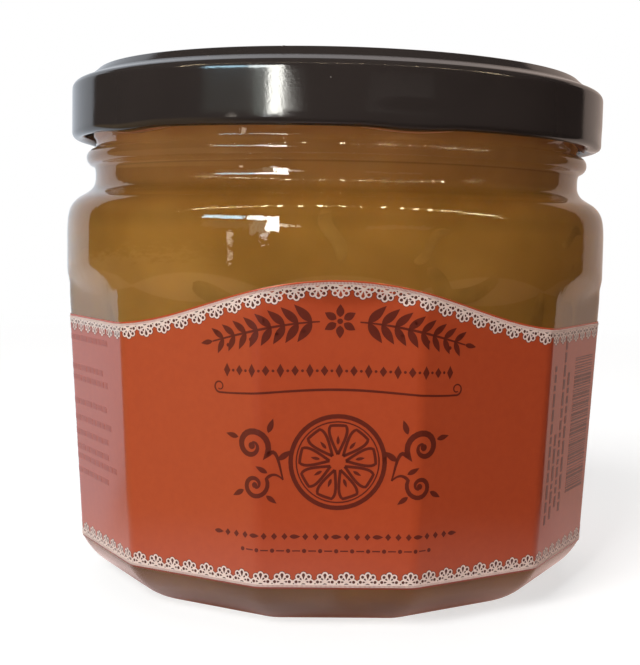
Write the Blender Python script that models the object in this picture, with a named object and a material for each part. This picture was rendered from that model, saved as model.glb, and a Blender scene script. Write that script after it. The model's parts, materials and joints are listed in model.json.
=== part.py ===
"""Marmalade jar: a twelve-sided glass, its twist-off lid, its wrap label and the marmalade in it.

Metres, +Z up. The origin is on the floor under the jar's axis, and one flat side faces -Y.
"""

from math import cos, exp, pi, radians, sin

import bmesh
import bpy
from mathutils import Vector

MM = 0.001

# Driving dimensions, in millimetres and degrees
SIDES = 12
STEPS_PER_SIDE = 4
CLEARANCE = 0.3

FOOT_CORNER = 33.3
FOOT_RING = 28.4
PUSH_UP = 1.6
HEEL_TOP = 6.2
HEEL_CORNER = 41.05
BODY_RADIUS = 43.5
ARCH_FOOT = 45.0
ARCH_FOOT_CORNER = 43.2
ARCH_TOP = 49.8
ARCH_MIDDLE = 47.4
ARCH_SLOPE = 0.38
SHOULDER_FOOT = 57.2
SHOULDER_PULL = 3.7
SHOULDER_TOP = 63.0
NECK_PULL = 3.2
NECK_RADIUS = 39.1
BEAD_RADIUS = 40.5
BEAD_HEIGHT = 66.2
BEAD_HALF = 1.35
FINISH_RADIUS = 39.3
FINISH_FOOT = 67.9
FINISH_TOP = 75.1
FINISH_ROWS = 12
RIM_TOP = 78.9
BORE_RADIUS = 36.7

FLOOR = 4.6
FLOOR_CORNER = 6.5
BORE_FOOT = 36.7
BORE_ARCH = 40.3
BORE_BODY = 40.8
BORE_SHOULDER_FOOT = 56.6
BORE_SHOULDER_PULL = 3.5
FILL_HEIGHT = 74.5
MENISCUS = 0.4

THREADS = 6
THREAD_DEPTH = 0.95
THREAD_HALF = 0.6
THREAD_HEIGHT = 71.7
THREAD_RISE = 2.8 / 27
THREAD_START = -27.0
THREAD_END = 22.0
THREAD_FADE = 4.0

LID_RADIUS = 42.75
LID_EDGE = 69.15
LID_SHOULDER = 78.15
LID_SHOULDER_ROUND = 1.3
LID_TOP = 79.6
LID_PANEL = 78.6
LID_PANEL_RADIUS = 33.2
LID_CREST_RADIUS = 36.6
LID_RING_RADIUS = 40.6
LID_RING_ROUND = 0.9
LID_RING_STEP = 0.15
RING_STEPS = 4
BUTTON_RADIUS = 9.0
BUTTON_RISE = 0.45
TINPLATE = 0.35
CURL = 1.0
CURL_HEIGHT = 2.2
LUG_ANGLE = 19.0
LUG_HALF = 11.0
LUG_REACH = 0.8
LUG_DROP = 0.3
LUG_DENT = 0.3
LUG_DENT_TOP = 73.0

LABEL_FOOT = 6.4
LABEL_SIDE = 41.7
LABEL_CREST = 48.7
LABEL_CREST_HALF = 50.0
LABEL_THICKNESS = 0.25
LABEL_GAP = 15.0
LABEL_ROWS = 8

COLUMNS = SIDES * STEPS_PER_SIDE
SIDE_ANGLE = 2 * pi / SIDES


def between(low, high, share):
    return low + (high - low) * share


def arc(centre, radius, start, end, steps):
    """Points of an arc in (radius, height), angles in degrees from outwards, both ends included."""
    turns = [radians(between(start, end, step / steps)) for step in range(steps + 1)]
    return [(centre[0] + radius * cos(turn), centre[1] + radius * sin(turn)) for turn in turns]


def curve(points, steps):
    """Points of a Bezier curve over control points, without its first one."""
    found = []
    for step in range(1, steps + 1):
        level = list(points)
        while len(level) > 1:
            share = step / steps
            level = [
                (between(a[0], b[0], share), between(a[1], b[1], share))
                for a, b in zip(level, level[1:])
            ]
        found.append(level[0])
    return found


def heel():
    """The corner line from the foot up to the taper: a soft chamfer, full in its lower half."""
    foot = (FOOT_CORNER, 0.0)
    pull = (between(FOOT_CORNER, HEEL_CORNER, 0.72), between(0.0, HEEL_TOP, 0.3))
    return [foot] + curve([foot, pull, (HEEL_CORNER, HEEL_TOP)], 5)


def corner_radius(height):
    """How far the meeting line of two sides lies from the axis."""
    line = heel() + [(ARCH_FOOT_CORNER, ARCH_FOOT)]
    for (low_radius, low), (high_radius, high) in zip(line, line[1:]):
        if height <= high:
            return between(low_radius, high_radius, (height - low) / (high - low))
    return ARCH_FOOT_CORNER


def side_limit(angle, height):
    """The radius at which a side cuts the body, at an angle counted from -Y towards +X.

    Over the arch the side leans out at one slope from its own plane to the round body, so the lean
    is tall at a side's middle and shrinks to nothing at its corners.
    """
    off_middle = (angle + SIDE_ANGLE / 2) % SIDE_ANGLE - SIDE_ANGLE / 2
    flat = corner_radius(height) * cos(SIDE_ANGLE / 2) / cos(off_middle)
    lean = between(flat, BODY_RADIUS, 0.5) + ARCH_SLOPE * (height - ARCH_MIDDLE)
    return min(max(flat, lean), BODY_RADIUS)


def round_radius(height):
    """The turned body before its sides are cut."""
    if height <= ARCH_FOOT:
        return corner_radius(height)
    share = min(1.0, (height - ARCH_FOOT) / (ARCH_TOP - ARCH_FOOT))
    return between(ARCH_FOOT_CORNER, BODY_RADIUS, share)


def wall_radius(angle, height):
    return min(round_radius(height), side_limit(angle, height))


def near(angle, middle, count):
    """Degrees from an angle to the nearest of count evenly spaced places, one of them at middle."""
    pitch = 360.0 / count
    return (angle - middle + pitch / 2) % pitch - pitch / 2


def bore_corner(gap):
    """The rounded corner between floor and bore, upwards, a gap inside the glass."""
    foot = BORE_FOOT - gap
    floor = FLOOR + gap
    start = (foot - FLOOR_CORNER, floor)
    return [start] + curve([start, (foot, floor), (foot, floor + FLOOR_CORNER)], 4)


def bore_shoulder(gap):
    """The bore's narrowing from the body to the neck, upwards, a gap inside the glass."""
    body = BORE_BODY - gap
    neck = BORE_RADIUS - gap
    low = BORE_SHOULDER_FOOT - gap
    high = SHOULDER_TOP - gap
    start = (body, low)
    pulls = [(body, low + BORE_SHOULDER_PULL), (neck, high - BORE_SHOULDER_PULL)]
    return [start] + curve([start, *pulls, (neck, high)], 5)


def glass_profile():
    """(radius, height) from the underside's middle, up the outside and down the bore to the floor."""
    underside = [(0.0, PUSH_UP), (FOOT_RING - 4.0, PUSH_UP), (FOOT_RING, 0.0)]
    arch = [
        (round_radius(height), height)
        for height in (between(ARCH_FOOT, ARCH_TOP, step / 4) for step in range(5))
    ]
    shoulder = curve(
        [
            (BODY_RADIUS, SHOULDER_FOOT),
            (BODY_RADIUS, SHOULDER_FOOT + SHOULDER_PULL),
            (NECK_RADIUS, SHOULDER_TOP - NECK_PULL),
            (NECK_RADIUS, SHOULDER_TOP),
        ],
        8,
    )
    bead_sweep = BEAD_RADIUS - BEAD_HALF
    bead = arc((bead_sweep, BEAD_HEIGHT), BEAD_HALF, -75, 65, 5)
    finish = [
        (FINISH_RADIUS, between(FINISH_FOOT, FINISH_TOP, row / FINISH_ROWS))
        for row in range(FINISH_ROWS + 1)
    ]
    rim_half = (FINISH_RADIUS - BORE_RADIUS) / 2
    rim = arc((BORE_RADIUS + rim_half, RIM_TOP - rim_half), rim_half, 0, 180, 4)
    bore = bore_shoulder(0.0)[::-1]
    return (
        underside
        + heel()
        + arch
        + [(BODY_RADIUS, SHOULDER_FOOT)]
        + shoulder
        + bead
        + finish
        + rim
        + bore
        + [(BORE_ARCH, ARCH_FOOT)]
        + bore_corner(0.0)[::-1]
        + [(0.0, FLOOR)]
    )


def marmalade_profile():
    """The bore's shape, a clearance inside it, from the floor up to the fill."""
    brim = BORE_RADIUS - CLEARANCE
    level = FILL_HEIGHT - MENISCUS
    return (
        [(0.0, FLOOR + CLEARANCE)]
        + bore_corner(CLEARANCE)
        + [(BORE_ARCH - CLEARANCE, ARCH_FOOT)]
        + bore_shoulder(CLEARANCE)
        + [(brim, FILL_HEIGHT), (brim - 4 * MENISCUS, level), (0.0, level)]
    )


def ring_slope(thickness):
    """The lid's rise from its panel to the ring's crest, a thickness under the outer face."""
    low = LID_PANEL - thickness
    high = LID_TOP - thickness
    foot = LID_PANEL_RADIUS + thickness
    crest = LID_CREST_RADIUS + thickness
    pull = (crest - foot) / 2
    return [(foot, low)] + curve(
        [(foot, low), (foot + pull, low), (crest - pull, high), (crest, high)], RING_STEPS
    )


def lid_profile():
    """(radius, height) from the button, over the ring, down the skirt, round the curl and back inside."""
    skirt_top = LID_SHOULDER - LID_SHOULDER_ROUND
    shoulder_middle = (LID_RADIUS - LID_SHOULDER_ROUND, skirt_top)
    curl_middle = (LID_RADIUS - CURL, LID_EDGE + CURL)
    ring_middle = (LID_RING_RADIUS - LID_RING_ROUND, LID_TOP - LID_RING_ROUND)
    inner = LID_RADIUS - TINPLATE
    ring_inner = LID_RING_RADIUS - TINPLATE
    shoulder_under = LID_SHOULDER - TINPLATE
    outside = (
        [(0.0, LID_PANEL + BUTTON_RISE), (BUTTON_RADIUS * 0.6, LID_PANEL + BUTTON_RISE * 0.8)]
        + [(BUTTON_RADIUS, LID_PANEL)]
        + ring_slope(0.0)
        + arc(ring_middle, LID_RING_ROUND, 90, 0, 3)
        + [(LID_RING_RADIUS, LID_SHOULDER + LID_RING_STEP)]
        + arc(shoulder_middle, LID_SHOULDER_ROUND, 90, 0, 4)
        + [(LID_RADIUS, LUG_DENT_TOP)]
        + arc(curl_middle, CURL, 0, -180, 6)
    )
    curl_top = LID_EDGE + CURL_HEIGHT
    curl_inner = LID_RADIUS - 2 * CURL
    curl_back = curve([(curl_inner, curl_middle[1]), (curl_inner, curl_top), (inner, curl_top)], 3)
    inside = (
        curl_back
        + [(inner, LUG_DENT_TOP), (inner, skirt_top - TINPLATE)]
        + [(shoulder_middle[0], shoulder_under), (ring_inner, shoulder_under)]
        + [(ring_inner, ring_middle[1]), (ring_middle[0], LID_TOP - TINPLATE)]
        + ring_slope(TINPLATE)[::-1]
        + [(0.0, LID_PANEL - TINPLATE)]
    )
    return outside + inside


def turned(name, profile, material):
    """Spins a profile that starts and ends on the axis into one closed body, first column at -Y."""
    mesh = bmesh.new()
    points = [mesh.verts.new(Vector((0.0, -radius, height)) * MM) for radius, height in profile]
    edges = [mesh.edges.new(pair) for pair in zip(points, points[1:])]
    bmesh.ops.spin(
        mesh,
        geom=points + edges,
        cent=(0.0, 0.0, 0.0),
        axis=(0.0, 0.0, 1.0),
        angle=2 * pi,
        steps=COLUMNS,
        use_merge=True,
    )
    bmesh.ops.remove_doubles(mesh, verts=mesh.verts, dist=1e-6)
    bmesh.ops.recalc_face_normals(mesh, faces=mesh.faces)
    return add_object(name, mesh, material)


def add_object(name, mesh, material):
    data = bpy.data.meshes.new(name)
    mesh.to_mesh(data)
    mesh.free()
    data.materials.append(material)
    data.shade_smooth()
    data.set_sharp_from_angle(angle=radians(32))
    obj = bpy.data.objects.new(name, data)
    bpy.context.collection.objects.link(obj)
    return obj


def polar(point):
    """(angle from -Y towards +X in radians, radius, height), lengths in millimetres."""
    flat = Vector((point.x, point.y))
    angle = Vector((0.0, -1.0)).angle_signed(flat, 0.0) if flat.length > MM else 0.0
    return -angle, flat.length / MM, point.z / MM


def place(point, angle, radius, height):
    point.x = radius * sin(angle) * MM
    point.y = -radius * cos(angle) * MM
    point.z = height * MM


def press_sides(obj):
    """Moves the wall's points in to the twelve leaning sides."""
    for vertex in obj.data.vertices:
        angle, radius, height = polar(vertex.co)
        limit = side_limit(angle, height)
        if radius > limit:
            place(vertex.co, angle, limit, height)


def raise_threads(obj):
    """Raises the short sloping threads on the finish, each from below a lug up over it."""
    for vertex in obj.data.vertices:
        angle, radius, height = polar(vertex.co)
        if not FINISH_FOOT < height < FINISH_TOP or radius < FINISH_RADIUS - 0.1:
            continue
        along = near(angle * 180 / pi, LUG_ANGLE, THREADS)
        if not THREAD_START < along < THREAD_END:
            continue
        off_line = (height - THREAD_HEIGHT - THREAD_RISE * along) / THREAD_HALF
        from_end = min(along - THREAD_START, THREAD_END - along)
        fade = min(1.0, from_end / THREAD_FADE)
        place(vertex.co, angle, radius + THREAD_DEPTH * fade * exp(-off_line * off_line), height)


def press_lugs(obj):
    """Folds the curl in and down at the lugs, and dents the skirt over them."""
    for vertex in obj.data.vertices:
        angle, radius, height = polar(vertex.co)
        off_lug = abs(near(angle * 180 / pi, LUG_ANGLE, THREADS))
        if height >= LUG_DENT_TOP or off_lug >= LUG_HALF:
            continue
        weight = cos(pi / 2 * off_lug / LUG_HALF) ** 2
        low = min(1.0, (LUG_DENT_TOP - height) / 2)
        inwards = LUG_REACH if radius < LID_RADIUS - 0.7 else LUG_DENT * low
        place(vertex.co, angle, radius - inwards * weight, height - LUG_DROP * weight * low)


def label_top(angle):
    """The label's upper edge: level, with one bell over the front side."""
    share = min(1.0, abs(angle * 180 / pi) / LABEL_CREST_HALF)
    return between(LABEL_SIDE, LABEL_CREST, (1 + cos(pi * share)) / 2)


def add_label(material):
    """A strip round the wall whose ends leave a gap at the back, with its own thickness."""
    mesh = bmesh.new()
    pitch = 2 * pi / COLUMNS
    last = int((pi - radians(LABEL_GAP) / 2) / pitch)
    rows = []
    for row in range(LABEL_ROWS + 1):
        rows.append([])
        for column in range(-last, last + 1):
            angle = column * pitch
            height = between(LABEL_FOOT, label_top(angle), row / LABEL_ROWS)
            point = mesh.verts.new()
            place(point.co, angle, wall_radius(angle, height) + CLEARANCE, height)
            rows[row].append(point)
    for low, high in zip(rows, rows[1:]):
        for column in range(len(low) - 1):
            mesh.faces.new((low[column], low[column + 1], high[column + 1], high[column]))
    obj = add_object("label", mesh, material)
    paper = obj.modifiers.new("Paper", "SOLIDIFY")
    paper.thickness = LABEL_THICKNESS * MM
    paper.offset = 1.0
    return obj


def finish(name, colour, roughness, metallic=0.0, transmission=0.0):
    material = bpy.data.materials.new(name)
    material.use_nodes = True
    shader = material.node_tree.nodes["Principled BSDF"]
    shader.inputs["Base Color"].default_value = (*colour, 1.0)
    shader.inputs["Roughness"].default_value = roughness
    shader.inputs["Metallic"].default_value = metallic
    shader.inputs["Transmission Weight"].default_value = transmission
    return material


def main():
    for obj in list(bpy.data.objects):
        bpy.data.objects.remove(obj, do_unlink=True)
    glass = turned("glass_jar", glass_profile(), finish("glass", (0.9, 0.92, 0.9), 0.05, 0.0, 1.0))
    press_sides(glass)
    raise_threads(glass)
    turned("marmalade", marmalade_profile(), finish("marmalade", (0.3, 0.12, 0.02), 0.3))
    lid = turned("lid", lid_profile(), finish("black lacquer", (0.02, 0.015, 0.013), 0.25))
    press_lugs(lid)
    add_label(finish("label paper", (0.5, 0.09, 0.03), 0.35))


main()
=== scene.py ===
"""Marmalade jar, dressed: pressed glass, marmalade with peel, a lacquered lid and a printed label.

Lengths inside are millimetres until they are placed, and MM turns them into the frame's metres.
Angles are counted from -Y towards +X, and a side's middle faces -Y.
"""

import json
import random
from math import atan, cos, exp, hypot, pi, radians, sin, sqrt, tan

import bmesh
import bpy
from bpy.props import FloatProperty, FloatVectorProperty, IntProperty, PointerProperty
from bpy.types import Operator, Panel, PropertyGroup
from mathutils import Matrix, Vector

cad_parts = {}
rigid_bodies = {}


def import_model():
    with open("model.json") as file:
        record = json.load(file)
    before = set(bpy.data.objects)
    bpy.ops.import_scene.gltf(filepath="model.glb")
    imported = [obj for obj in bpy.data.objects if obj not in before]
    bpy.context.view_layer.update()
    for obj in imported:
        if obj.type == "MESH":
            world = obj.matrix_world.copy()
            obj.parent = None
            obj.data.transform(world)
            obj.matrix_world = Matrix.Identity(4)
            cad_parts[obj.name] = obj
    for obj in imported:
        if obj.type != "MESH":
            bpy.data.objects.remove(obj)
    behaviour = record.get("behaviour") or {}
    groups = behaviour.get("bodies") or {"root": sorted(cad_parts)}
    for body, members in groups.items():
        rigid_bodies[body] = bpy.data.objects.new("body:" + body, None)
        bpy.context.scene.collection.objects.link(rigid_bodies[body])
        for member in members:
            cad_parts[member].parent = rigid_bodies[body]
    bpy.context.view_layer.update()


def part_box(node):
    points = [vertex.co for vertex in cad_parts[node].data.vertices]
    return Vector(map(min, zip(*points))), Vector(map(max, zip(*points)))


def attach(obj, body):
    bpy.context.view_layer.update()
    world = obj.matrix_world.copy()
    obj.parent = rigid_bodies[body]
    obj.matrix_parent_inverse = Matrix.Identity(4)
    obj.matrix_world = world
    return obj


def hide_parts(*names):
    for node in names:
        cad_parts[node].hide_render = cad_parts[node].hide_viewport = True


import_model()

bl_info = {
    "name": "Marmalade Jar",
    "version": (1, 0, 0),
    "blender": (4, 5, 0),
    "location": "View3D > Sidebar > Jar",
    "description": "Builds a shut jar of marmalade with its lid, label and studio",
    "category": "Object",
}

MM = 0.001
SHARP_ANGLE = radians(40)

# The jar in millimetres; the frame's boxes give its outer sizes
SIDES = 12
SIDE_ANGLE = 2 * pi / SIDES
HALF_SIDE = SIDE_ANGLE / 2
JAR_LOW, JAR_HIGH = (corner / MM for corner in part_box("glass_jar"))
LID_LOW, LID_HIGH = (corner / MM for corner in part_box("lid"))
LABEL_LOW, LABEL_HIGH = (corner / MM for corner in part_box("label"))
FILL_LOW, FILL_HIGH = (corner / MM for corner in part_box("marmalade"))
BODY_RADIUS = (JAR_HIGH.x - JAR_LOW.x) / 2
RIM_TOP = JAR_HIGH.z
LID_RADIUS = (LID_HIGH.x - LID_LOW.x) / 2
LID_TOP = LID_HIGH.z
LID_EDGE = LID_LOW.z - 0.1
FILL_TOP = FILL_HIGH.z

FOOT_CORNER = 33.3
HEEL_TOP = 6.2
HEEL_CORNER = 41.05
TAPER = 0.0554
ARCH_CORNER = 43.2
CORNER_ROUND = 3.4
ARCH_MIDDLE = 47.4
ARCH_SLOPE = 0.38
ARCH_CLEAR = 51.5
ARCH_FOOT_ROUND = 0.3
ARCH_HEAD_ROUND = 0.25
SHOULDER_TOP = 63.0
SHOULDER_MID = 41.95
NECK_RADIUS = 39.1
BEAD_RADIUS = 40.5
BEAD_HEIGHT = 66.2
BEAD_HALF = 1.35
FINISH_RADIUS = 39.3
FINISH_DRAFT = 0.25
FINISH_FOOT = 67.9
FINISH_TOP = 75.1
BORE_RADIUS = 36.7
BORE_BODY = 40.8
BORE_ARCH = 40.3
BORE_FOOT = 36.7
BORE_SHOULDER_FOOT = 56.6
FLOOR = 4.6
FLOOR_CORNER = 6.5
PUSH_UP = 1.6
FOOT_RING = 28.4
LUGS = 6
LUG_ANGLE = 13.0
LUG_HALF = 11.0
LUG_REACH = 0.8
LUG_DROP = 0.3
LUG_DENT = 0.1
LUG_DENT_TOP = 73.0
TONGUE_GAP = 0.55
TONGUE_REACH = 0.75
TONGUE_TIN = 0.28
THREAD_START = -27.0
THREAD_END = 22.0
THREAD_FADE = 5.0
THREAD_MIDDLE = 71.7
THREAD_CLIMB = 2.8 / 27
THREAD_HALF = 0.6
THREAD_RISE = 0.95
LID_TILT = 0.35
COLUMNS = 288

# A radius past every wall, so that the sides press it in
PRESSED_IN = 999.0

# The studio's tones, linear
BLACK = (0.0, 0.0, 0.0)
FLOOR_TONE = (0.5, 0.5, 0.49)
FLOOR_GLOW = 0.62
FLOOR_BOUNCE = (0.32, 0.27, 0.24)
# Tones the floor glows with in reflections only; the shaded one is a painted shadow round the jar's foot
MIRRORED_LEFT = (1.06, 0.83, 0.81)
MIRRORED_RIGHT = (0.8, 0.57, 0.52)
PAINTED_FLOOR_SHADOW = (0.27, 0.118, 0.092)
LEFT_FLOOR = (0.4, 0.28, 0.14)
ROOM_TONE = (0.031, 0.029, 0.028)
BACKDROP_LEFT = (0.76, 0.82, 0.9)
BACKDROP_RIGHT = (0.58, 0.46, 0.4)

# Distances on the floor from the jar's axis, in metres, between which its tones change
FLOOR_FADE = (0.2, 0.6)
FOOT_EDGE = (0.0335, 0.038)
MIRROR_EDGE = (0.05, 0.085)
FLOOR_EYE = (0.0, 0.04, 0.0)

# Parts of a direction between which reflected tones change: its X, and its Y for the last
MIRRORED_SIDES = (-0.5, 0.5)
LEFT_EDGE = (-0.95, -0.7)
BACKDROP_SIDES = (-0.3, 0.3)
BACKDROP_EDGE = (0.555, 0.575)

# Heights in metres that the lights aim at and that elevations start from
LIT_HEIGHT = 0.045
EYE_HEIGHT = 0.055

# Lights: azimuth, height, distance, size, power and colour
LIGHTS = (
    ("key", -33, 0.9, 1.1, (0.6, 0.6), 19.0, (0.99, 1.0, 1.02)),
    ("fill", 62, 0.5, 1.5, (1.4, 0.8), 5.35, (1.0, 0.79, 0.76)),
    ("top", 180, 1.5, 0.5, (1.6, 1.6), 7.0, (1.0, 1.0, 1.0)),
)

# Windows that show only in reflections: azimuths, elevations, colour, strength and distance
PANES = (
    ("window", (-28.7, -22.8), (2.5, 16.5), (1.0, 1.0, 0.93), 30.0, 1.5),
    ("window_sill", (-31.3, -19.8), (5.8, 7.6), (1.0, 1.0, 0.93), 11.0, 1.51),
    ("window_ledge", (-34.0, -17.6), (5.7, 7.0), (1.0, 1.0, 0.93), 5.5, 1.52),
    ("window_shine", (-37.0, -15.0), (5.6, 6.5), (1.0, 1.0, 0.93), 3.0, 1.53),
    ("window_room", (11.0, 37.0), (5.0, 7.9), (1.0, 0.92, 0.86), 0.22, 1.5),
    ("window_wall", (-56.0, -34.7), (4.0, 9.5), (0.9, 1.0, 0.85), 0.3, 1.5),
    ("window_side", (-34.5, -28.9), (2.0, 9.5), (0.86, 1.0, 0.9), 1.6, 1.5),
    ("window_top", (-37.0, -28.7), (10.5, 16.5), (0.9, 1.0, 1.0), 24.0, 1.5),
    ("window_sky", (-56.0, -38.2), (11.5, 15.5), (0.5, 0.82, 1.0), 19.0, 1.5),
    ("window_low", (-30.4, -27.4), (0.2, 2.0), (0.9, 0.95, 1.0), 8.0, 1.5),
    ("window_far", (-44.6, -42.4), (-0.6, 2.4), (1.0, 0.9, 0.78), 6.0, 1.5),
)

# Painted shade on the jelly: how much of its colour shows at a height in millimetres, lighter at the
# heel, darkest over the shoulder, with a painted dark line under the bead and painted shade under the
# lid's edge
JELLY_PAINTED_SHADES = (
    (9.0, (1.0, 0.95, 1.0)),
    (30.0, (0.8, 0.8, 0.8)),
    (55.0, (0.77, 0.765, 0.74)),
    (57.3, (0.59, 0.57, 0.59)),
    (58.5, (0.49, 0.45, 0.45)),
    (60.0, (0.37, 0.335, 0.34)),
    (61.5, (0.5, 0.47, 0.64)),
    (63.0, (0.57, 0.53, 0.78)),
    (64.6, (0.56, 0.53, 0.8)),
    (64.9, (0.4, 0.35, 0.5)),
    (65.2, (0.6, 0.58, 0.95)),
    (67.8, (0.62, 0.58, 0.94)),
    (69.3, (0.54, 0.46, 0.75)),
    (72.0, (0.6, 0.48, 0.7)),
)

# Painted light on the jelly behind the leaning arches, standing in for the floor's reflection in the
# leaning glass: its colour, its share and how wide its edge fades
ARCH_PAINTED_LIGHT = (0.8, 0.5, 0.28)
PAINTED_ARCH_SHARE = 0.032
ARCH_EDGE = 0.15

# The label
LABEL_FOOT = LABEL_LOW.z
LABEL_CREST = LABEL_HIGH.z
LEAN_FOOT = 44.0
LABEL_SIDE = 41.7
LABEL_CREST_HALF = 50.0
LABEL_END = 172.5
SIDE_LENGTH = 21.8
PETALS = 5
LACE_RIM = 0.25
LACE_COMB = 0.3
LACE_THREADS = 17
LACE_HUB = 0.77
LACE_REACH = 1.0
LACE_LOBE = 0.42
LACE_JOINT = 0.97
LACE_GROUND = 0.07
PAPER_GAP = 0.02
PAPER = 0.12
INK = 0.02


def mix(low, high, share):
    return low + (high - low) * share


def soft_min(a, b, width):
    """The lower of two values, rounded over where they meet."""
    share = min(1.0, max(0.0, 0.5 + 0.5 * (b - a) / width))
    return mix(b, a, share) - width * share * (1.0 - share)


def soft_max(a, b, width):
    return -soft_min(-a, -b, width)


def arc(centre, radius, start, end, steps):
    turns = [radians(mix(start, end, step / steps)) for step in range(steps + 1)]
    return [(centre[0] + radius * cos(turn), centre[1] + radius * sin(turn)) for turn in turns]


def curve(points, steps):
    """Points of a Bezier curve over control points, both ends included."""
    found = []
    for step in range(steps + 1):
        level = [Vector(point) for point in points]
        while len(level) > 1:
            level = [a.lerp(b, step / steps) for a, b in zip(level, level[1:])]
        found.append(tuple(level[0]))
    return found


def rows(low, high, steps):
    return [mix(low, high, step / steps) for step in range(steps + 1)]


def at(angle, radius, height):
    """A point in the frame's metres."""
    return Vector((radius * sin(angle), -radius * cos(angle), height)) * MM


def near(angle, middle, count):
    """Degrees from an angle to the nearest of count evenly spaced places, one of them at middle."""
    pitch = 360.0 / count
    return (angle - middle + pitch / 2) % pitch - pitch / 2


def corner_radius(height):
    """How far the meeting line of two sides lies from the axis, heel and taper."""
    if height >= HEEL_TOP:
        return min(HEEL_CORNER + TAPER * (height - HEEL_TOP), ARCH_CORNER)
    pull = 0.3 * HEEL_TOP
    bend = HEEL_TOP - 2 * pull
    share = (sqrt(pull * pull + bend * max(0.0, height)) - pull) / bend
    pull_radius = mix(FOOT_CORNER, HEEL_CORNER, 0.72)
    return mix(mix(FOOT_CORNER, pull_radius, share), mix(pull_radius, HEEL_CORNER, share), share)


def wall_radius(angle, height):
    """The jar's outer wall up to the shoulder: twelve sides, rounded corners and leaning arches."""
    corner = corner_radius(height)
    flat = (corner - CORNER_ROUND) * cos(HALF_SIDE) + CORNER_ROUND
    off_middle = abs((angle + HALF_SIDE) % SIDE_ANGLE - HALF_SIDE)
    off_corner = HALF_SIDE - off_middle
    centre = corner - CORNER_ROUND
    bend_end = atan(CORNER_ROUND * sin(HALF_SIDE) / (centre + CORNER_ROUND * cos(HALF_SIDE)))
    if off_corner < bend_end:
        across = centre * sin(off_corner)
        radius = centre * cos(off_corner) + sqrt(CORNER_ROUND**2 - across**2)
    else:
        radius = flat / cos(off_middle)
    lean = mix(radius, BODY_RADIUS, 0.5) + ARCH_SLOPE * (height - ARCH_MIDDLE)
    return soft_min(soft_max(radius, lean, ARCH_FOOT_ROUND), BODY_RADIUS, ARCH_HEAD_ROUND)


def bore_profile(grow):
    """(radius, height) of the bore from the floor's middle up to the neck, grown into the glass."""
    foot = BORE_FOOT + grow
    floor = FLOOR - grow
    body = BORE_BODY + grow
    neck = BORE_RADIUS + grow
    corner = curve(
        [(foot - FLOOR_CORNER, floor), (foot, floor), (foot, floor + FLOOR_CORNER)], 10
    )
    wall = [
        (mix(foot, BORE_ARCH + grow, share), mix(floor + FLOOR_CORNER, ARCH_MIDDLE, share))
        for share in rows(0.1, 1.0, 9)
    ]
    shoulder = curve(
        [
            (body, BORE_SHOULDER_FOOT),
            (body, BORE_SHOULDER_FOOT + 3.5),
            (neck, SHOULDER_TOP - 3.5),
            (neck, SHOULDER_TOP),
        ],
        12,
    )
    return [(0.0, floor), (foot / 2, floor)] + corner + wall + shoulder


def revolve(name, profile, shift=None, columns=COLUMNS):
    """Turns a profile that starts and ends on the axis, and moves each point by shift."""
    mesh = bmesh.new()
    rings = []
    for radius, height in profile:
        if radius < 1e-6:
            rings.append([mesh.verts.new((0.0, 0.0, height * MM))] * columns)
            continue
        ring = []
        for column in range(columns):
            angle = 2 * pi * column / columns
            place = shift(angle, radius, height) if shift else (radius, height)
            ring.append(mesh.verts.new(at(angle, *place)))
        rings.append(ring)
    bridge(mesh, rings)
    bmesh.ops.recalc_face_normals(mesh, faces=mesh.faces)
    return add_object(name, mesh)


def bridge(mesh, rings):
    """Faces from each closed ring of points to the next; a pole is one point repeated."""
    for low, high in zip(rings, rings[1:]):
        for column in range(len(low)):
            after = (column + 1) % len(low)
            loop = (low[column], low[after], high[after], high[column])
            mesh.faces.new(list(dict.fromkeys(loop)))


def new_object(name, data):
    obj = bpy.data.objects.new(name, data)
    bpy.context.scene.collection.objects.link(obj)
    return obj


def mesh_data(name, mesh):
    data = bpy.data.meshes.new(name)
    mesh.to_mesh(data)
    mesh.free()
    return data


def add_object(name, mesh):
    """Turns a bmesh into an object that is smooth but for its sharp edges."""
    data = mesh_data(name, mesh)
    data.shade_smooth()
    data.set_sharp_from_angle(angle=SHARP_ANGLE)
    return new_object(name, data)


def dress(obj, material, node=None):
    """Gives a piece its material, its body and the node it stands for."""
    obj.data.materials.clear()
    obj.data.materials.append(material)
    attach(obj, "root")
    if node:
        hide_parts(node)


def thread_shift(angle, radius, height):
    """Raises the short sloping threads on the finish, each from below a lug up over it."""
    if not FINISH_FOOT <= height <= FINISH_TOP or radius < FINISH_RADIUS - FINISH_DRAFT - 0.1:
        return radius, height
    along = near(angle * 180 / pi, LUG_ANGLE, LUGS)
    if not THREAD_START < along < THREAD_END:
        return radius, height
    off_line = (height - THREAD_MIDDLE - THREAD_CLIMB * along) / THREAD_HALF
    weight = min(1.0, min(along - THREAD_START, THREAD_END - along) / THREAD_FADE)
    return radius + THREAD_RISE * weight * (2 - weight) * exp(-(off_line**2)), height


def glass_shift(angle, radius, height):
    """Presses the heel, the sides and the arches into the turned wall."""
    if height < ARCH_CLEAR and radius > FOOT_RING + 1.0 and (height < FLOOR or radius > BORE_BODY):
        return min(radius, wall_radius(angle, height)), height
    return thread_shift(angle, radius, height)


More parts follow.
